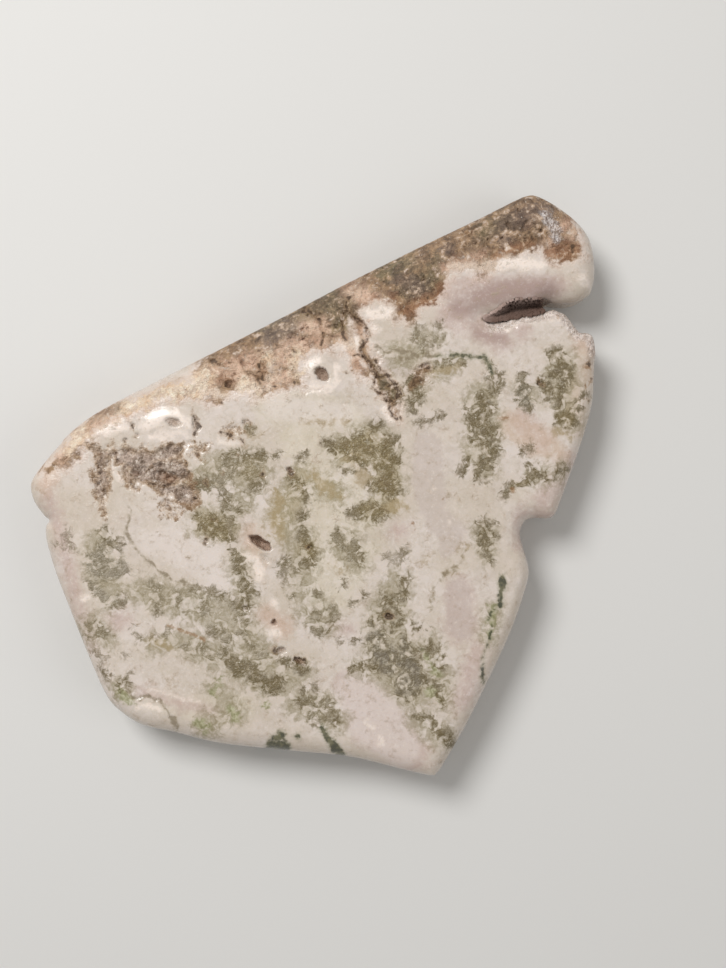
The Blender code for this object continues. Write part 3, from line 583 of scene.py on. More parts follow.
class Outline:
    """The stone's outline, which tells quickly how deep inside it a point is."""

    def __init__(self, border):
        self.border = border
        self.tree = kdtree.KDTree(len(border))
        for i, (x, y) in enumerate(border):
            self.tree.insert((x, y, 0.0), i)
        self.tree.balance()

    def depth(self, points):
        nearest = np.array([self.tree.find((x, y, 0.0))[1] for x, y in points], dtype=int)
        count = len(self.border)
        best = np.full(len(points), np.inf)
        sign = np.ones(len(points))
        for offset in (-1, 0):
            start = self.border[(nearest + offset) % count]
            run = self.border[(nearest + offset + 1) % count] - start
            away = points - start
            share = np.clip((away * run).sum(1) / (run * run).sum(1), 0, 1)
            distance = np.linalg.norm(away - share[:, None] * run, axis=1)
            side = np.where(run[:, 1] * away[:, 0] - run[:, 0] * away[:, 1] >= 0, 1.0, -1.0)
            closer = distance < best
            best[closer] = distance[closer]
            sign[closer] = side[closer]
        return best * sign

    def inward(self):
        tangents = np.roll(self.border, -1, 0) - np.roll(self.border, 1, 0)
        tangents /= np.linalg.norm(tangents, axis=1)[:, None]
        return np.column_stack([tangents[:, 1], -tangents[:, 0]])


def grain(points, size, level=GRAIN_LEVEL):
    """Fractal noise of about -1 to 1, with lumps of the given size. It is the same each run."""
    return np.array([
        noise.fractal(Vector((x / size, y / size, level)), 0.8, 2.1, 3) for x, y in points
    ])


def cells(points, size, level=GRAIN_LEVEL):
    """Distance from the middle of the nearest of many cells, about 0 to 1."""
    return np.array([noise.voronoi(Vector((x / size, y / size, level)))[0][0] for x, y in points])


def wander(points, size, amount):
    """The points moved about by noise, which makes a border or a crack uneven."""
    shifts = [noise.noise_vector(Vector((x / size, y / size, WANDER_LEVEL)))[:2] for x, y in points]
    return points + amount * np.array(shifts)


def wander_twice(points, wanders):
    for size, amount in wanders:
        points = wander(points, size, amount)
    return points


def bowl(points, x, y, half_length, half_width, turn):
    """1 in the middle of an ellipse, falling to 0 at its rim."""
    angle = np.radians(turn)
    along = (points[:, 0] - x) * np.cos(angle) + (points[:, 1] - y) * np.sin(angle)
    across = (points[:, 1] - y) * np.cos(angle) - (points[:, 0] - x) * np.sin(angle)
    return np.clip(1 - (along / half_length) ** 2 - (across / half_width) ** 2, 0, 1)


def round_over(depth, reach, drop):
    """How far a quarter-round edge lies under the face at some depth inside the outline."""
    share = np.clip(1 - depth / reach, 0, 1)
    return drop * (1 - np.sqrt(1 - share**2))


def seen_at(points):
    """Where the camera sees each point, in pixels."""
    scale = FOCAL_PIXELS / (CAMERA_PLACE[2] - points[:, 2])
    u = IMAGE_CENTRE[0] + (points[:, 0] - CAMERA_PLACE[0]) * scale
    v = IMAGE_CENTRE[1] - (points[:, 1] - CAMERA_PLACE[1]) * scale
    below = np.maximum(DRIFT_BELOW_MM - points[:, 2], 0)
    return np.column_stack([u + DRIFT_U_PER_MM * below, v + DRIFT_V_PER_MM * below])


def on_face(place):
    """The point of the flat face that is seen at a pixel, in millimetres."""
    scale = (CAMERA_PLACE[2] - THICKNESS) / FOCAL_PIXELS
    return (CAMERA_PLACE[0] + (place[0] - IMAGE_CENTRE[0]) * scale,
            CAMERA_PLACE[1] - (place[1] - IMAGE_CENTRE[1]) * scale)


def stroke_depth(places, strokes):
    """How deep inside the nearest stroke each place is, in millimetres: negative outside."""
    depth = np.full(len(places), -STROKE_SEARCH)
    for stroke in strokes:
        rows = np.array(stroke, dtype=float).reshape(-1, 3)
        if len(rows) == 1:
            rows = np.vstack([rows, rows + (0.01, 0.0, 0.0)])
        line, widths = rows[:, :2], rows[:, 2]
        reach = STROKE_SEARCH + widths.max()
        near = np.all((places > line.min(0) - reach) & (places < line.max(0) + reach), axis=1)
        if near.any():
            distance, share = along_route(places[near], line)
            inside = np.interp(share, shares_along(line), widths) - distance
            depth[near] = np.maximum(depth[near], inside)
    return depth * MM_PER_PIXEL


def rind_depth(places):
    area = MM_PER_PIXEL * depth_inside(places, RIND_BORDER)
    return np.maximum(area, stroke_depth(places, RIND_STROKES))


def fissure_line():
    return np.array(FISSURE_ROUTE)[:, :2]


def fissure_half_width(share):
    """Half width of the fissure at some share of its length from the tip."""
    return np.interp(share, shares_along(fissure_line()), np.array(FISSURE_ROUTE)[:, 2])


def fissure_sink(points, inset=0.0):
    """Depth of the blind part of the fissure, or of a trough that is smaller by an inset."""
    distance, share = along_route(points, fissure_line())
    across = distance / np.maximum(fissure_half_width(share) - inset, LEAST_HALF_WIDTH)
    full_depth = (FISSURE_DEPTH - inset) * smooth_step(share, *FISSURE_DEEPENS)
    return full_depth * np.clip(1 - across**2, 0, 1)


def smooth_face_height(points, depth):
    """The polished surface, before anything is sunk into it."""
    wide = smooth_step(depth_inside(points, WIDE_EDGE_AREA), -WIDE_EDGE_SOFTNESS, WIDE_EDGE_SOFTNESS)
    broken = smooth_step(depth_inside(points, BROKEN_EDGE_AREA), -BROKEN_EDGE_SOFTNESS, BROKEN_EDGE_SOFTNESS)
    reach = EDGE_REACH + wide * (RIND_EDGE_REACH - EDGE_REACH)
    drop = EDGE_DROP + wide * (RIND_EDGE_DROP - EDGE_DROP)
    reach += broken * (BROKEN_EDGE_REACH - reach)
    drop += broken * (BROKEN_EDGE_DROP - drop)
    height = THICKNESS - round_over(np.maximum(depth, 0), reach, drop)
    for x, y, half_length, half_width, turn, rise in DOMES:
        height += rise * smooth_step(bowl(points, x, y, half_length, half_width, turn), 0, 1)
    return height


def hollow_sink(points):
    uneven = wander(points, *HOLLOW_WANDER)
    sink = np.zeros(len(points))
    for x, y, half_length, half_width, turn, depth, steepness in HOLLOWS:
        sink = np.maximum(sink, depth * bowl(uneven, x, y, half_length, half_width, turn) ** steepness)
    return sink


def crack_sink(points):
    """Cracks that wander, and open and close along their length."""
    jagged = wander_twice(points, CRACK_WANDERS)
    openness = smooth_step(grain(points, 1.3, 11.0), -0.45, 0.25)
    sink = np.zeros(len(points))
    for route, half_width, depth in CRACKS:
        distance, place = along_route(jagged, np.array([on_face(corner) for corner in route]))
        fade = smooth_step(place, -0.1, 0.15) * (1 - smooth_step(place, 0.75, 1.1))
        profile = np.clip(1 - (distance / half_width) ** 2, 0, 1) ** 0.7
        sink = np.maximum(sink, depth * fade * (0.25 + 0.75 * openness) * profile)
    return sink


def scattered_pits(points, size, level):
    """1 in the middle of small pits, which lie in loose groups."""
    grouped = smooth_step(grain(points, 3.2 * size, level + 1), -0.25, 0.3)
    uneven = wander(points, 0.7 * size, 0.45 * size)
    return grouped * smooth_step(0.38 - cells(uneven, size, level), 0.0, 0.26)


def moved_places(vertices, wanders):
    """Where the camera sees each point, moved about so that a border is uneven."""
    moved = wander_twice(vertices[:, :2], wanders)
    return seen_at(np.column_stack([moved, vertices[:, 2]]))


def sunk_face(points, depth):
    """Height of the finished face, the depths of its relief and its hollows, and how sugary it is."""
    polished = smooth_face_height(points, depth)
    away, _ = along_route(points, fissure_line())
    places = moved_places(np.column_stack([points, polished]), BORDER_WANDERS)
    rind = smooth_step(away, 2.2, 3.4) * smooth_step(rind_depth(places), -0.2, 2.2)
    druse = smooth_step(stroke_depth(places, BROWN_DRUSE), -0.4, 1.4)
    broken = smooth_step(depth_inside(wander(points, *SUGARY_WANDER), SUGARY_AREA), -0.6, 1.0)
    broken = broken * (1 - smooth_step(np.minimum(depth, away - 1.4), 1.0, 2.6))
    crumbs = RIND_LUMPS * grain(points, LUMP_SIZE) + RIND_CRUMBS * grain(points, CRUMB_SIZE)
    grit = grain(points, GRIT_SIZE, 3.0)
    rough_rind = RIND_SINK - crumbs - RIND_GRIT * grit + RIND_CELLS * (cells(points, RIND_CELL_SIZE) - 0.45)
    rough_rind = np.maximum(rough_rind, -HIGHEST_CRUMB) + RIND_PITS * scattered_pits(points, 1.7, 20.0)
    rough_rind = rough_rind + RIND_SMALL_PITS * scattered_pits(points, 0.9, 30.0)
    rough_druse = DRUSE_SINK - DRUSE_LUMPS * grain(points, DRUSE_LUMP_SIZE, 8.0) - DRUSE_GRIT * grit
    rough_druse = rough_druse + DRUSE_CELLS * (cells(points, DRUSE_CELL_SIZE, 2.0) - 0.4)
    rough_druse = np.maximum(rough_druse, -HIGHEST_CRUMB) + DRUSE_PITS * scattered_pits(points, 1.2, 40.0)
    sugary = SUGAR_SINK - SUGAR_GRIT * grit + SUGAR_CELLS * (cells(points, SUGAR_CELL_SIZE, 4.0) - 0.4)
    relief = rind * rough_rind + (1 - rind) * (druse * rough_druse + broken * sugary)
    lip = LIP_DROP * np.clip(1 - np.maximum(away - LIP_START, 0) / LIP_REACH, 0, 1) ** 2
    in_fissure = np.maximum(fissure_sink(wander(points, *FISSURE_WANDER)), 0)
    fissure_cells = FISSURE_CELLS * (cells(points, FISSURE_CELL_SIZE, 6.0) - 0.4)
    relief = relief + smooth_step(in_fissure, 0, 1.5) * fissure_cells
    sunk = np.maximum(hollow_sink(points), crack_sink(points))
    height = polished - lip - relief - sunk - in_fissure
    return height, relief, sunk + 0.3 * in_fissure, broken


def back_height(depth):
    return round_over(np.maximum(depth, 0), BACK_REACH, BACK_DROP)


def staggered_grid(outline, step, least_depth):
    """Points of a triangular grid that lie at least some depth inside the outline, with their depths."""
    low, high = outline.border.min(0), outline.border.max(0)
    rows = []
    for row, y in enumerate(np.arange(low[1], high[1], step * np.sqrt(0.75))):
        x = np.arange(low[0] + step * (row % 2) / 2, high[0], step)
        rows.append(np.column_stack([x, np.full(len(x), y)]))
    grid = np.vstack(rows)
    depth = outline.depth(grid)
    kept = depth > least_depth
    return grid[kept], depth[kept]


def inset_rings(outline, depths):
    """Copies of the outline moved inwards, without the points that a corner would crowd."""
    rings = []
    for depth in depths:
        ring = outline.border + depth * outline.inward()
        rings.append(ring[outline.depth(ring) > UNCROWDED_SHARE * depth])
    return np.vstack(rings)


def closeness_wanted(points, depth):
    """2 where the face is rough, 1 where it is marked, 0 where it is plain."""
    places = seen_at(np.column_stack([points, smooth_face_height(points, depth)]))
    rough = rind_depth(places) > -RIND_MARGIN
    rough |= stroke_depth(places, BROWN_DRUSE) > -DRUSE_MARGIN
    rough |= depth_inside(points, BROKEN_EDGE_AREA) > -BROKEN_MARGIN
    rough |= along_route(points, fissure_line())[0] < FISSURE_MARGIN
    for x, y, half_length, half_width, turn, *_ in HOLLOWS:
        rough |= bowl(points, x, y, half_length + HOLLOW_MARGIN, half_width + HOLLOW_MARGIN, turn) > 0
    for route, half_width, _ in CRACKS:
        distance, _ = along_route(points, np.array([on_face(corner) for corner in route]))
        rough |= distance < half_width + CRACK_MARGIN
    rough |= stroke_depth(places, DEEP_GREEN + LENS_BORDER_LINE) > -LINE_MARGIN
    marked = stroke_depth(places, STAIN + DARK + WHITE_AND_HIGHLIGHTS) > -SPOT_MARGIN
    marked |= stroke_depth(places, MOSS) > -MOSS_MARGIN
    return np.where(rough, 2, np.where(marked, 1, 0))


def face_points(outline):
    """Points of the face: close where it is rough, wide apart where it is plain."""
    chosen = [inset_rings(outline, EDGE_RING_DEPTHS)]
    for wanted, step in enumerate((PLAIN_STEP, MARKED_STEP, ROUGH_STEP)):
        grid, depth = staggered_grid(outline, step, EDGE_RING_DEPTHS[-1] + step / 2)
        chosen.append(grid[closeness_wanted(grid, depth) == wanted])
    grid, depth = staggered_grid(outline, ROUGH_STEP, ROUGH_STEP / 2)
    rim = (closeness_wanted(grid, depth) == 2) & (depth <= EDGE_RING_DEPTHS[-1] + ROUGH_STEP / 2)
    chosen.append(grid[rim])
    return np.vstack(chosen)


def triangulate(border, inner):
    """Triangles over a border and the points inside it: the border's points come first."""
    points = np.vstack([border, inner])
    flat = [Vector(point) for point in points]
    _, _, faces, sources, _, _ = geometry.delaunay_2d_cdt(flat, [], [list(range(len(border)))], 1, 1e-6)
    first_source = [source[0] for source in sources]
    return points, [[first_source[corner] for corner in face] for face in faces]


def closed_body(top, top_faces, bottom, bottom_faces, count, rows, push):
    """Vertices and faces of a closed body: a top sheet, a bottom sheet and a wall between them."""
    vertices = [top, bottom]
    first_of_row = [len(top)]
    next_free = len(top) + len(bottom)
    for row in range(1, rows):
        share = row / rows
        ring = bottom[:count] * (1 - share) + top[:count] * share
        vertices.append(push(ring, share))
        first_of_row.append(next_free)
        next_free += count
    first_of_row.append(0)
    faces = top_faces + [[corner + len(top) for corner in reversed(face)] for face in bottom_faces]
    for lower, upper in zip(first_of_row, first_of_row[1:]):
        for i in range(count):
            j = (i + 1) % count
            faces.append([lower + i, upper + i, upper + j, lower + j])
    return np.vstack(vertices), faces


def mesh_object(name, vertices, faces, material):
    mesh = bpy.data.meshes.new(name)
    mesh.from_pydata([tuple(vertex * METRES_PER_MM) for vertex in vertices], [], faces)
    mesh.validate()
    mesh.materials.append(material)
    mesh.shade_smooth()
    made = bpy.data.objects.new(name, mesh)
    bpy.context.scene.collection.objects.link(made)
    return made


def add_field(piece, name, values):
    """Keeps one number for each vertex, which a material reads by name."""
    layer = piece.data.attributes.new(name, "FLOAT", "POINT")
    layer.data.foreach_set("value", np.asarray(values, dtype=np.float32))


def linear(red, green, blue):
    """A linear colour from one in 0 to 255, made less warm."""
    share = np.array([red, green, blue]) / 255
    straight = np.where(share <= 0.04045, share / 12.92, ((share + 0.055) / 1.055) ** 2.4)
    return tuple(np.clip(straight * LESS_WARM, 0, BRIGHTEST)) + (1.0,)


class Term:
    """A shader socket that can be written into sums and products."""

    def __init__(self, look, socket):
        self.look = look
        self.socket = socket

    def _math(self, operation, first, second):
        return self.look.node("ShaderNodeMath", {"operation": operation}, {0: first, 1: second})

    def __add__(self, other):
        return self._math("ADD", self, other)

    def __radd__(self, other):
        return self._math("ADD", other, self)

    def __sub__(self, other):
        return self._math("SUBTRACT", self, other)

    def __rsub__(self, other):
        return self._math("SUBTRACT", other, self)

    def __mul__(self, other):
        return self._math("MULTIPLY", self, other)

    def __rmul__(self, other):
        return self._math("MULTIPLY", other, self)

    def at_most(self, other):
        return self._math("MINIMUM", self, other)

    def at_least(self, other):
        return self._math("MAXIMUM", self, other)

    def step(self, low, high):
        """0 below low, 1 above high, smooth between them."""
        settings = {"interpolation_type": "SMOOTHSTEP"}
        inputs = {"Value": self, "From Min": low, "From Max": high}
        return self.look.node("ShaderNodeMapRange", settings, inputs)


class Look:
    """A material that is built up from terms."""

    def __init__(self, name):
        self.material = bpy.data.materials.new(name)
        self.material.use_nodes = True
        self.tree = self.material.node_tree
        self.shader = self.tree.nodes["Principled BSDF"]
        self.place = self.node("ShaderNodeTexCoord", {}, {}, "Object")

    def node(self, kind, settings, inputs, output=0):
        made = self.tree.nodes.new(kind)
        for name, value in settings.items():
            setattr(made, name, value)
        for name, value in inputs.items():
            self.give(made.inputs[name], value)
        return Term(self, made.outputs[output])

    def give(self, socket, value):
        if isinstance(value, Term):
            self.tree.links.new(value.socket, socket)
        else:
            socket.default_value = value

    def set(self, name, value):
        self.give(self.shader.inputs[name], value)

    def field(self, name):
        return self.node("ShaderNodeAttribute", {"attribute_name": name}, {}, "Fac")

    def moved(self, by):
        return self.node("ShaderNodeVectorMath", {"operation": "ADD"}, {0: self.place, 1: by})

    def ripple(self, size_mm, detail=2.0, by=(0.0, 0.0, 0.0), twist=0.0):
        """Noise of about -1 to 1, with lumps of the given size."""
        inputs = {"Vector": self.moved(by), "Scale": 1 / (size_mm * METRES_PER_MM), "Detail": detail}
        inputs.update({"Roughness": 0.55, "Distortion": twist})
        return (self.node("ShaderNodeTexNoise", {}, inputs) - 0.5) * NOISE_SPREAD

    def specks(self, size_mm, by=(0.0, 0.0, 0.0)):
        """Distance from the nearest of many scattered specks, in shares of their spacing."""
        inputs = {"Vector": self.moved(by), "Scale": 1 / (size_mm * METRES_PER_MM)}
        return self.node("ShaderNodeTexVoronoi", {}, inputs, "Distance")

    def mix(self, share, first, second):
        """A mix of two colours. A plain one is given as red, green and blue in 0 to 255."""
        first, second = [tone if isinstance(tone, Term) else linear(*tone) for tone in (first, second)]
        return self.node("ShaderNodeMix", {"data_type": "RGBA"}, {0: share, 6: first, 7: second}, 2)


def stone_look():
    look = Look("polished moss agate")
    # Noise of several sizes, and what is made of it
    clouds = look.ripple(13.0, 3.0)
    blotches = look.ripple(4.6, 4.0, (0.3, 0.1, 0.0), 0.5)
    wisps = look.ripple(2.4, 4.0, (0.1, 0.7, 0.0), 0.6)
    flecks = look.ripple(0.85, 3.0, (0.5, 0.2, 0.0), 0.3)
    dust = look.ripple(0.36, 2.0, (0.9, 0.4, 0.0))
    grains = flecks * 0.75 + dust * 0.6
    mottle = wisps * 0.6 + flecks * 0.5
    crumbs = look.ripple(1.5, 3.0, (0.7, 0.3, 0.0), 0.6)
    bubbles = look.specks(1.5)
    glints = look.specks(1.1, (0.3, 0.8, 0.0)).step(0.17, 0.09) * crumbs.step(0.0, 0.6)
    fray = wisps * 0.45 + flecks * 0.3
    strands = wisps.at_least(0 - wisps).step(0.4, 0.02)
    threads = flecks.at_least(0 - flecks).step(0.4, 0.02)

    # How deep the relief is, and how strongly each marking is present
    relief = look.field("relief")
    sunk = look.field("sunk")
    sugary = look.field("sugary")

    def amount(name, sharpness, unevenness):
        """How strongly a marking is present: about 0.5 at its border, more inside it, frayed by noise."""
        depth = look.field(name).at_most(DEEPEST_INSIDE).at_least(FARTHEST_OUTSIDE)
        return 0.5 + depth * sharpness + fray * unevenness

    rind = amount("rind", 0.5, 0.9).step(0.2, 0.9)
    halo = amount("rind", 0.22, 0.5).step(-0.05, 0.6)
    druse = amount("brown", 0.45, 1.1).step(0.15, 0.95)
    moss = amount("moss", 0.5, 0.85) + (strands - 0.35) * 0.3
    veil = amount("veil", 0.24, 0.9).step(-0.05, 0.9)
    grey_moss = amount("grey_moss", 0.3, 0.5).step(0.0, 0.9)
    faint = amount("faint", 0.2, 0.5).step(0.0, 0.9)
    green = amount("deep_green", 1.1, 0.9)
    line = amount("border_line", 1.1, 0.9)
    dark = amount("dark", 1.1, 1.2)
    tan = amount("tan", 0.45, 1.0).step(0.25, 1.1)
    golden = amount("golden", 0.3, 0.5).step(0.0, 0.9)
    cream = amount("cream", 0.2, 0.6).step(0.0, 0.9)
    pale_green = amount("pale_green", 0.5, 1.2).step(0.3, 1.0)
    stain = amount("stain", 1.0, 0.9).step(0.35, 0.9)
    rust = amount("rust", 0.35, 0.9).step(0.15, 0.9)
    white_and_highlights = amount("white_and_highlights", 0.55, 0.9).step(0.15, 1.0)
    pink = amount("pink", 0.2, 0.5).step(0.1, 0.95)
    lens = amount("lens", 0.6, 0.6).step(0.2, 0.9)
    milky = amount("milky", 0.45, 0.6).step(0.15, 0.95)
    silver = amount("silver", 0.5, 1.0).step(0.2, 0.8)
    shade = amount("shade", 0.25, 1.2).step(0.2, 0.9)
    mauve_shade = amount("mauve_shade", 0.28, 0.2).step(-0.1, 1.0)
    peach = amount("peach", 0.25, 0.6).step(-0.05, 1.0)

    # The pale body
    body = look.mix((clouds + blotches * 0.35).step(-0.6, 0.7), (192, 174, 155), (203, 186, 171))
    body = look.mix(cream * 0.5, body, look.mix(blotches.step(-0.8, 0.8), (208, 193, 167), (192, 177, 147)))
    body = look.mix(strands * 0.22, body, (176, 160, 135))
    body = look.mix((blotches + wisps * 0.4).step(-0.2, 1.3) * 0.5, body, (178, 160, 142))
    body = look.mix((0 - blotches + flecks * 0.3).step(0.2, 1.4) * 0.5, body, (214, 197, 182))
    body = look.mix(pink * 0.7, body, (180, 152, 140))
    body = look.mix(peach * 0.6, body, (190, 160, 133))
    # Painted shade in a mauve tone, where the arm curves down to the fissure
    body = look.mix(mauve_shade * 0.8, body, (148, 120, 109))
    body = look.mix(lens * 0.55, body, (182, 163, 149))
    body = look.mix(milky * 0.5, body, (210, 193, 179))
    body = look.mix(halo * 0.6, body, look.mix(wisps.step(-0.8, 0.8), (214, 188, 168), (196, 164, 142)))
    # White spots, with painted glints and painted glare on the polished domes
    body = look.mix(white_and_highlights * 0.9, body, (228, 208, 190))
    sugar = look.mix((grains + crumbs * 0.4).step(-0.7, 0.5), (228, 208, 192), (176, 154, 138))
    body = look.mix(sugary * 0.7, body, sugar)
    body = look.mix((grains + wisps * 0.4).step(0.0, 1.5) * 0.3, body, (150, 132, 110))
    body = look.mix((0 - grains).step(0.2, 1.3) * 0.3, body, (224, 208, 192))

    # The moss, with a film of colour round it, and the green lines
    olive = look.mix(mottle.step(-0.9, 0.8), (146, 127, 95), (94, 77, 48))
    olive = look.mix(golden * 0.75, olive, look.mix(mottle.step(-0.9, 0.8), (162, 141, 97), (104, 83, 45)))
    olive = look.mix(grey_moss * 0.8, olive, look.mix(mottle.step(-0.8, 0.8), (146, 133, 114), (100, 88, 72)))
    rings = bubbles.step(0.14, 0.24) * bubbles.step(0.42, 0.3) * crumbs.step(-0.1, 0.5)
    film = look.mix(mottle.step(-0.9, 1.0), (176, 161, 136), (136, 122, 94))
    film = look.mix(golden * 0.55, film, look.mix(mottle.step(-0.9, 1.0), (178, 160, 120), (142, 123, 80)))
    colour = look.mix(veil * 0.72, body, film)
    colour = look.mix(veil * strands * 0.5, colour, (122, 106, 72))
    colour = look.mix(tan * 0.6, colour, look.mix(wisps.step(-0.8, 0.8), (172, 148, 112), (144, 120, 80)))
    leaf_green = look.mix(flecks.step(-0.8, 0.8), (176, 170, 132), (118, 114, 70))
    colour = look.mix(pale_green * 0.7, colour, leaf_green)
    strong = 1 - faint * 0.5
    colour = look.mix(moss.step(0.2, 1.1) * strong * 0.9, colour, olive)
    filaments = moss.step(0.15, 0.8) * strands.at_least(threads * 0.7) * strong
    colour = look.mix(filaments * 0.55, colour, (88, 72, 38))
    gaps = (0 - crumbs - flecks * 0.3).step(0.35, 1.1) * moss.step(0.2, 0.9)
    colour = look.mix(gaps * 0.32, colour, (190, 174, 146))
    colour = look.mix(rings * moss.step(0.3, 0.9) * 0.25, colour, (204, 190, 168))
    colour = look.mix(line.step(0.05, 0.6) * 0.45, colour, (150, 133, 108))
    colour = look.mix(line.step(0.4, 0.85) * 0.6, colour, (116, 99, 74))
    colour = look.mix(green.step(-0.3, 0.7) * 0.45, colour, (128, 122, 92))
    colour = look.mix(green.step(0.3, 0.9) * 0.85, colour,
                      look.mix((flecks + wisps).step(-0.8, 0.8), (94, 88, 58), (46, 48, 32)))
    colour = look.mix(stain * 0.7, colour, look.mix(mottle.step(-0.6, 0.6), (170, 134, 96), (128, 90, 54)))
    colour = look.mix(glints * moss.step(0.3, 0.8) * 0.45, colour, (228, 214, 192))

    # The rind
    patches = wisps * 0.45 + blotches * 0.4 + crumbs * 0.4
    ground = look.mix(patches.step(-0.7, 0.7), (170, 134, 98), (92, 66, 42))
    # Colour zones of the rind; the cream zone is partly a painted highlight along the upper-left rounded edge
    for zone, light, deep in (
        ("rind_green", (130, 113, 82), (70, 58, 35)), ("rind_pink", (238, 202, 174), (178, 134, 104)),
        ("rind_grey", (128, 106, 92), (74, 56, 46)), ("rind_cream_and_highlight", (248, 226, 200), (218, 182, 146)),
    ):
        share = amount(zone, 0.22, 0.9).step(0.15, 0.9) * 0.85
        ground = look.mix(share, ground, look.mix(patches.step(-0.7, 0.8), light, deep))
    ground = look.mix(shade * 0.6, ground, look.mix(grains.step(-0.9, 0.9), (128, 102, 76), (70, 50, 32)))
    ground = look.mix((crumbs * 0.6 + flecks * 0.5).step(0.5, 1.2) * 0.6, ground, (84, 60, 38))
    ground = look.mix((0 - crumbs * 0.4 - grains * 0.6).step(0.4, 1.2) * 0.5, ground, (222, 196, 168))
    ground = look.mix(glints * 0.5, ground, (232, 214, 192))
    ground = look.mix(relief.step(0.5, 1.3) * 0.6, ground, (86, 60, 40))
    ground = look.mix(rust * 0.75, ground, look.mix(mottle.step(-0.8, 0.8), (168, 116, 78), (114, 74, 45)))
    ground = look.mix(silver * 0.8, ground, look.mix(grains.step(-0.5, 0.5), (226, 212, 202), (128, 110, 98)))
    colour = look.mix(rind * 0.95, colour, ground)

    # The brown crust of crystals, the dark cracks and the hollows
    core = look.field("brown").step(0.1, 1.7)
    brown = look.mix((wisps * 0.5 + grains * 0.5).step(-0.8, 0.8), (214, 184, 152), (128, 96, 66))
    core_tone = look.mix((crumbs + grains * 0.5).step(-0.8, 0.8), (182, 160, 145), (78, 58, 48))
    brown = look.mix(core * 0.65, brown, core_tone)
    brown = look.mix((0 - grains).step(0.4, 1.2) * 0.6, brown, (230, 210, 188))
    brown = look.mix(glints * 0.85, brown, (238, 224, 206))
    brown = look.mix(relief.step(0.8, 1.8) * 0.6, brown, (92, 68, 52))
    colour = look.mix(druse * (1 - rind) * 0.92, colour, brown)
    # The white strokes, partly painted highlights, also show over the rind
    colour = look.mix(white_and_highlights * rind * 0.7, colour, (226, 202, 178))
    colour = look.mix(dark.step(0.0, 0.6) * 0.35, colour, (150, 116, 80))
    colour = look.mix(dark.step(0.45, 1.0) * 0.8, colour, (66, 46, 31))
    hollow_tone = look.mix(flecks.step(-0.8, 0.8), (168, 134, 108), (120, 86, 62))
    colour = look.mix(sunk.step(0.3, 1.6) * 0.75, colour, hollow_tone)
    look.set("Base Color", colour)

    # The polish, which the rough areas lack
    rough = rind.at_least(druse).at_least(sunk.step(0.1, 0.6)).at_least(halo * 0.5).at_least(sugary)
    mossy = moss.step(0.3, 0.9)
    look.set("Roughness", 0.24 + rough * 0.34 + mossy * (1 - rough) * 0.12 + flecks * 0.03)
    look.set("Specular IOR Level", 0.4)
    look.set("Coat Weight", 0.2 * (1 - rough) * (1 - mossy * 0.5))
    look.set("Coat Roughness", 0.12)
    look.set("Subsurface Weight", 0.1)
    look.set("Subsurface Radius", (1.0, 0.8, 0.6))
    look.set("Subsurface Scale", 0.0015)
    height = rough * grains * 0.6 + mossy * grains * 0.2 + blotches * 0.03 + wisps * 0.03
    bump = look.node("ShaderNodeBump", {}, {"Strength": 0.7, "Distance": 0.0005, "Height": height}, "Normal")
    look.set("Normal", bump)
    return look.material


def crystal_look():
    look = Look("quartz druse")
    clouds = look.ripple(3.0, 2.0)
    grit = look.ripple(0.6, 2.0, (0.2, 0.5, 0.0))
    colour = look.mix((clouds + grit * 0.5).step(-0.8, 0.8), (152, 126, 112), (176, 150, 136))
    colour = look.mix(grit.step(0.3, 1.2) * 0.3, colour, (192, 168, 152))
    # Painted shade in the fissure: the crystals darken where their field of painted shade is high
    colour = look.mix(look.field("fissure_shade").step(-0.1, 0.9) * 0.9, colour, (82, 59, 47))
    look.set("Base Color", colour)
    look.set("Roughness", 0.65)
    look.set("Specular IOR Level", 0.2)
    return look.material


def stone_outline():
    corners = (
        LONG_UPPER_EDGE + ARM_END + SLOT_UNDER_ARM + RIGHT_SIDE + NOTCH + RIGHT_SHOULDER
        + BOTTOM_EDGE + LEFT_SIDE + LEFT_TIP
    )
    return Outline(smooth_closed_outline(corners, OUTLINE_STEP))


def face_sheet(outline):
    """The face's points and triangles, and the depths of its relief and hollows and how sugary it is."""
    points, faces = triangulate(outline.border, face_points(outline))
    depth = outline.depth(points)
    depth[:len(outline.border)] = 0
    height, relief, sunk, sugary = sunk_face(points, depth)
    return np.column_stack([points, height]), faces, {"relief": relief, "sunk": sunk, "sugary": sugary}


def back_sheet(outline):
    grid, _ = staggered_grid(outline, BACK_STEP, BACK_RING_DEPTHS[-1] + BACK_STEP / 2)
    inner = np.vstack([inset_rings(outline, BACK_RING_DEPTHS), grid])
    points, faces = triangulate(outline.border, inner)
    depth = outline.depth(points)
    depth[:len(outline.border)] = 0
    return np.column_stack([points, back_height(depth)]), faces


def uneven_wall(outline):
    """A function that makes a ring of the wall uneven, and rough below the rind. It only goes inwards."""
    inward = outline.inward()
    middle = np.full(len(outline.border), THICKNESS / 2)
    rind = smooth_step(rind_depth(seen_at(np.column_stack([outline.border, middle]))), -0.5, 1.0)

    def push(ring, share):
        waves = np.array([noise.noise(Vector(point / WALL_WAVE_SIZE)) for point in ring])
        lumps = np.array([noise.fractal(Vector(point / RIND_WALL_LUMP_SIZE), 0.8, 2.1, 4) for point in ring])
        rough = rind * (RIND_WALL_SINK + RIND_WALL_LUMPS * lumps)
        amount = np.sin(np.pi * share) * (WALL_SINK + WALL_WAVES * waves + rough)
        moved = ring.copy()
        moved[:, :2] += np.maximum(amount, 0)[:, None] * inward
        return moved

    return push


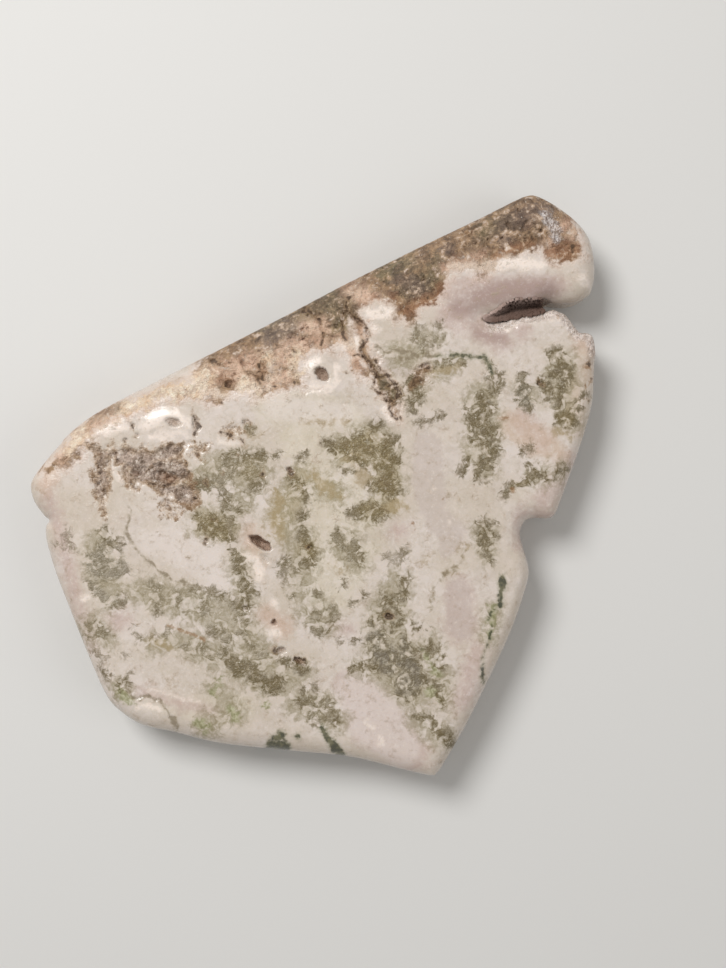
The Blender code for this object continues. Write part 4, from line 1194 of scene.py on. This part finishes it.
def mark_stone(stone, vertices, face_fields):
    """Gives each vertex its fields. The fields of the face are padded with 0 for the rest."""
    for name, values in face_fields.items():
        add_field(stone, name, np.pad(values, (0, len(vertices) - len(values))))
    uneven = moved_places(vertices, BORDER_WANDERS)
    add_field(stone, "rind", rind_depth(uneven))
    add_field(stone, "brown", stroke_depth(uneven, BROWN_DRUSE))
    frayed = moved_places(vertices, FRAY_WANDERS)
    for name, strokes in FRAYED_FIELDS.items():
        add_field(stone, name, stroke_depth(frayed, strokes))
    places = seen_at(vertices)
    for name, strokes in PLAIN_FIELDS.items():
        add_field(stone, name, stroke_depth(places, strokes))


def make_stone(outline):
    top, top_faces, face_fields = face_sheet(outline)
    back, back_faces = back_sheet(outline)
    count = len(outline.border)
    vertices, faces = closed_body(top, top_faces, back, back_faces, count, WALL_ROWS, uneven_wall(outline))
    stone = mesh_object("agate_stone", vertices, faces, stone_look())
    mark_stone(stone, vertices, face_fields)
    return stone


def crystal(middle, radius, height, root, tilt, turn):
    """A six-sided crystal with a point, as vertices and faces."""
    sides = turn + np.arange(6) * np.pi / 3
    ring = np.column_stack([np.cos(sides), np.sin(sides)]) * radius
    base = np.column_stack([ring, np.full(6, -root)])
    shoulder = np.column_stack([ring * SHOULDER_NARROWING, np.full(6, SHOULDER_SHARE * height)])
    vertices = np.vstack([base, shoulder, [[0, 0, height]]])
    vertices[:, :2] += tilt * np.maximum(vertices[:, 2:], 0)
    faces = [[5, 4, 3, 2, 1, 0]]
    for i in range(6):
        j = (i + 1) % 6
        faces.append([i, j, 6 + j, 6 + i])
        faces.append([6 + i, 6 + j, 12])
    return vertices + middle, faces


def make_crystals(outline):
    """The druse in the fissure: small pointed crystals all over it, rising from its floor."""
    rng = np.random.default_rng(CRYSTAL_SEED)
    line = fissure_line()
    shares = np.linspace(*CRYSTAL_ROW_ENDS, CRYSTAL_ROWS)
    centres = np.column_stack([np.interp(shares, shares_along(line), line[:, axis]) for axis in (0, 1)])
    tangents = np.gradient(centres, axis=0)
    tangents /= np.linalg.norm(tangents, axis=1)[:, None]
    sideways = np.column_stack([-tangents[:, 1], tangents[:, 0]])
    vertices, faces, fissure_shade = [], [], []
    total = 0
    for centre, side, share in zip(centres, sideways, shares):
        half = float(fissure_half_width(share))
        for across in np.arange(-CRYSTAL_SPAN, CRYSTAL_SPAN + 0.01, CRYSTAL_SPACING):
            place = centre + side * half * (across + rng.uniform(-0.08, 0.08)) + rng.uniform(-0.12, 0.12, 2)
            sink = fissure_sink(place[None])[0]
            if sink < LEAST_CRYSTAL_SINK:
                continue
            level = smooth_face_height(place[None], outline.depth(place[None]))[0] - sink
            radius = rng.uniform(*CRYSTAL_RADII)
            height = min(rng.uniform(*CRYSTAL_HEIGHTS), CRYSTAL_SHARE_OF_SINK * sink)
            lean = -side * across * 0.6 + rng.uniform(-0.25, 0.25, 2)
            lift = sink * (0.2 + 0.32 * np.clip(0.5 - across, 0, 1))
            middle = np.array([*place, level + lift])
            made, sides = crystal(middle, radius, height, lift, lean, rng.uniform(0, np.pi / 3))
            vertices.append(made)
            # Painted shade: each crystal is darker towards the slot end of the fissure and on its lower side
            fissure_shade.append(np.full(len(made), 0.28 - 0.35 * across + 0.7 * share))
            faces += [[corner + total for corner in side_face] for side_face in sides]
            total += len(made)
    crystals = mesh_object("fissure_crystals", np.vstack(vertices), faces, crystal_look())
    crystals.data.shade_flat()
    add_field(crystals, "fissure_shade", np.concatenate(fissure_shade))
    return crystals


def make_floor():
    bpy.ops.mesh.primitive_plane_add(size=6.0, location=(0, 0, 0))
    floor = bpy.context.object
    floor.name = "pale_floor"
    look = Look("pale floor")
    look.set("Base Color", (0.66, 0.65, 0.63, 1.0))
    look.set("Roughness", 0.8)
    floor.data.materials.append(look.material)
    return floor


def add_light(name, place, size, power):
    """A round soft light that points at the middle of the stone."""
    data = bpy.data.lights.new(name, "AREA")
    data.shape = "DISK"
    data.size = size
    data.energy = power
    light = bpy.data.objects.new(name, data)
    light.location = place
    light.rotation_euler = (-Vector(place)).to_track_quat("-Z", "Y").to_euler()
    bpy.context.scene.collection.objects.link(light)


def add_camera():
    data = bpy.data.cameras.new("camera")
    data.sensor_width = SENSOR_MM
    data.lens = FOCAL_PIXELS * SENSOR_MM / LONG_SIDE_PIXELS
    data.clip_start = 0.01
    data.clip_end = 20.0
    camera = bpy.data.objects.new("camera", data)
    camera.location = Vector(CAMERA_PLACE) * METRES_PER_MM
    bpy.context.scene.collection.objects.link(camera)
    bpy.context.scene.camera = camera


def add_studio():
    world = bpy.data.worlds.new("studio")
    world.use_nodes = True
    background = world.node_tree.nodes["Background"]
    background.inputs["Color"].default_value = (1.0, 0.985, 0.96, 1.0)
    background.inputs["Strength"].default_value = 0.38
    bpy.context.scene.world = world
    add_light("key", place=(-0.24, 0.28, 0.547), size=0.28, power=3.3)
    add_light("fill", place=(0.7, -0.2, 0.6), size=0.6, power=1.2)
    view = bpy.context.scene.view_settings
    view.view_transform = "Standard"
    view.look = "None"


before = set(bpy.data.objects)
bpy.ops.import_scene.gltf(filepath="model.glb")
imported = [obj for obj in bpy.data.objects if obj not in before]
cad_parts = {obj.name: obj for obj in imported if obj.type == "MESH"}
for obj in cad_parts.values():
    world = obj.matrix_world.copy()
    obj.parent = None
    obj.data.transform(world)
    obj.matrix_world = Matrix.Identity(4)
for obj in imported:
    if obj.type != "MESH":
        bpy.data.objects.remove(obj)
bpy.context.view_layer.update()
noise.seed_set(NOISE_SEED)

outline = stone_outline()
stone = make_stone(outline)
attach(stone, "root")
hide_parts("agate_slab")

crystals = make_crystals(outline)
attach(crystals, "root")
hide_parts("fissure_druse")

make_floor()
add_camera()
add_studio()
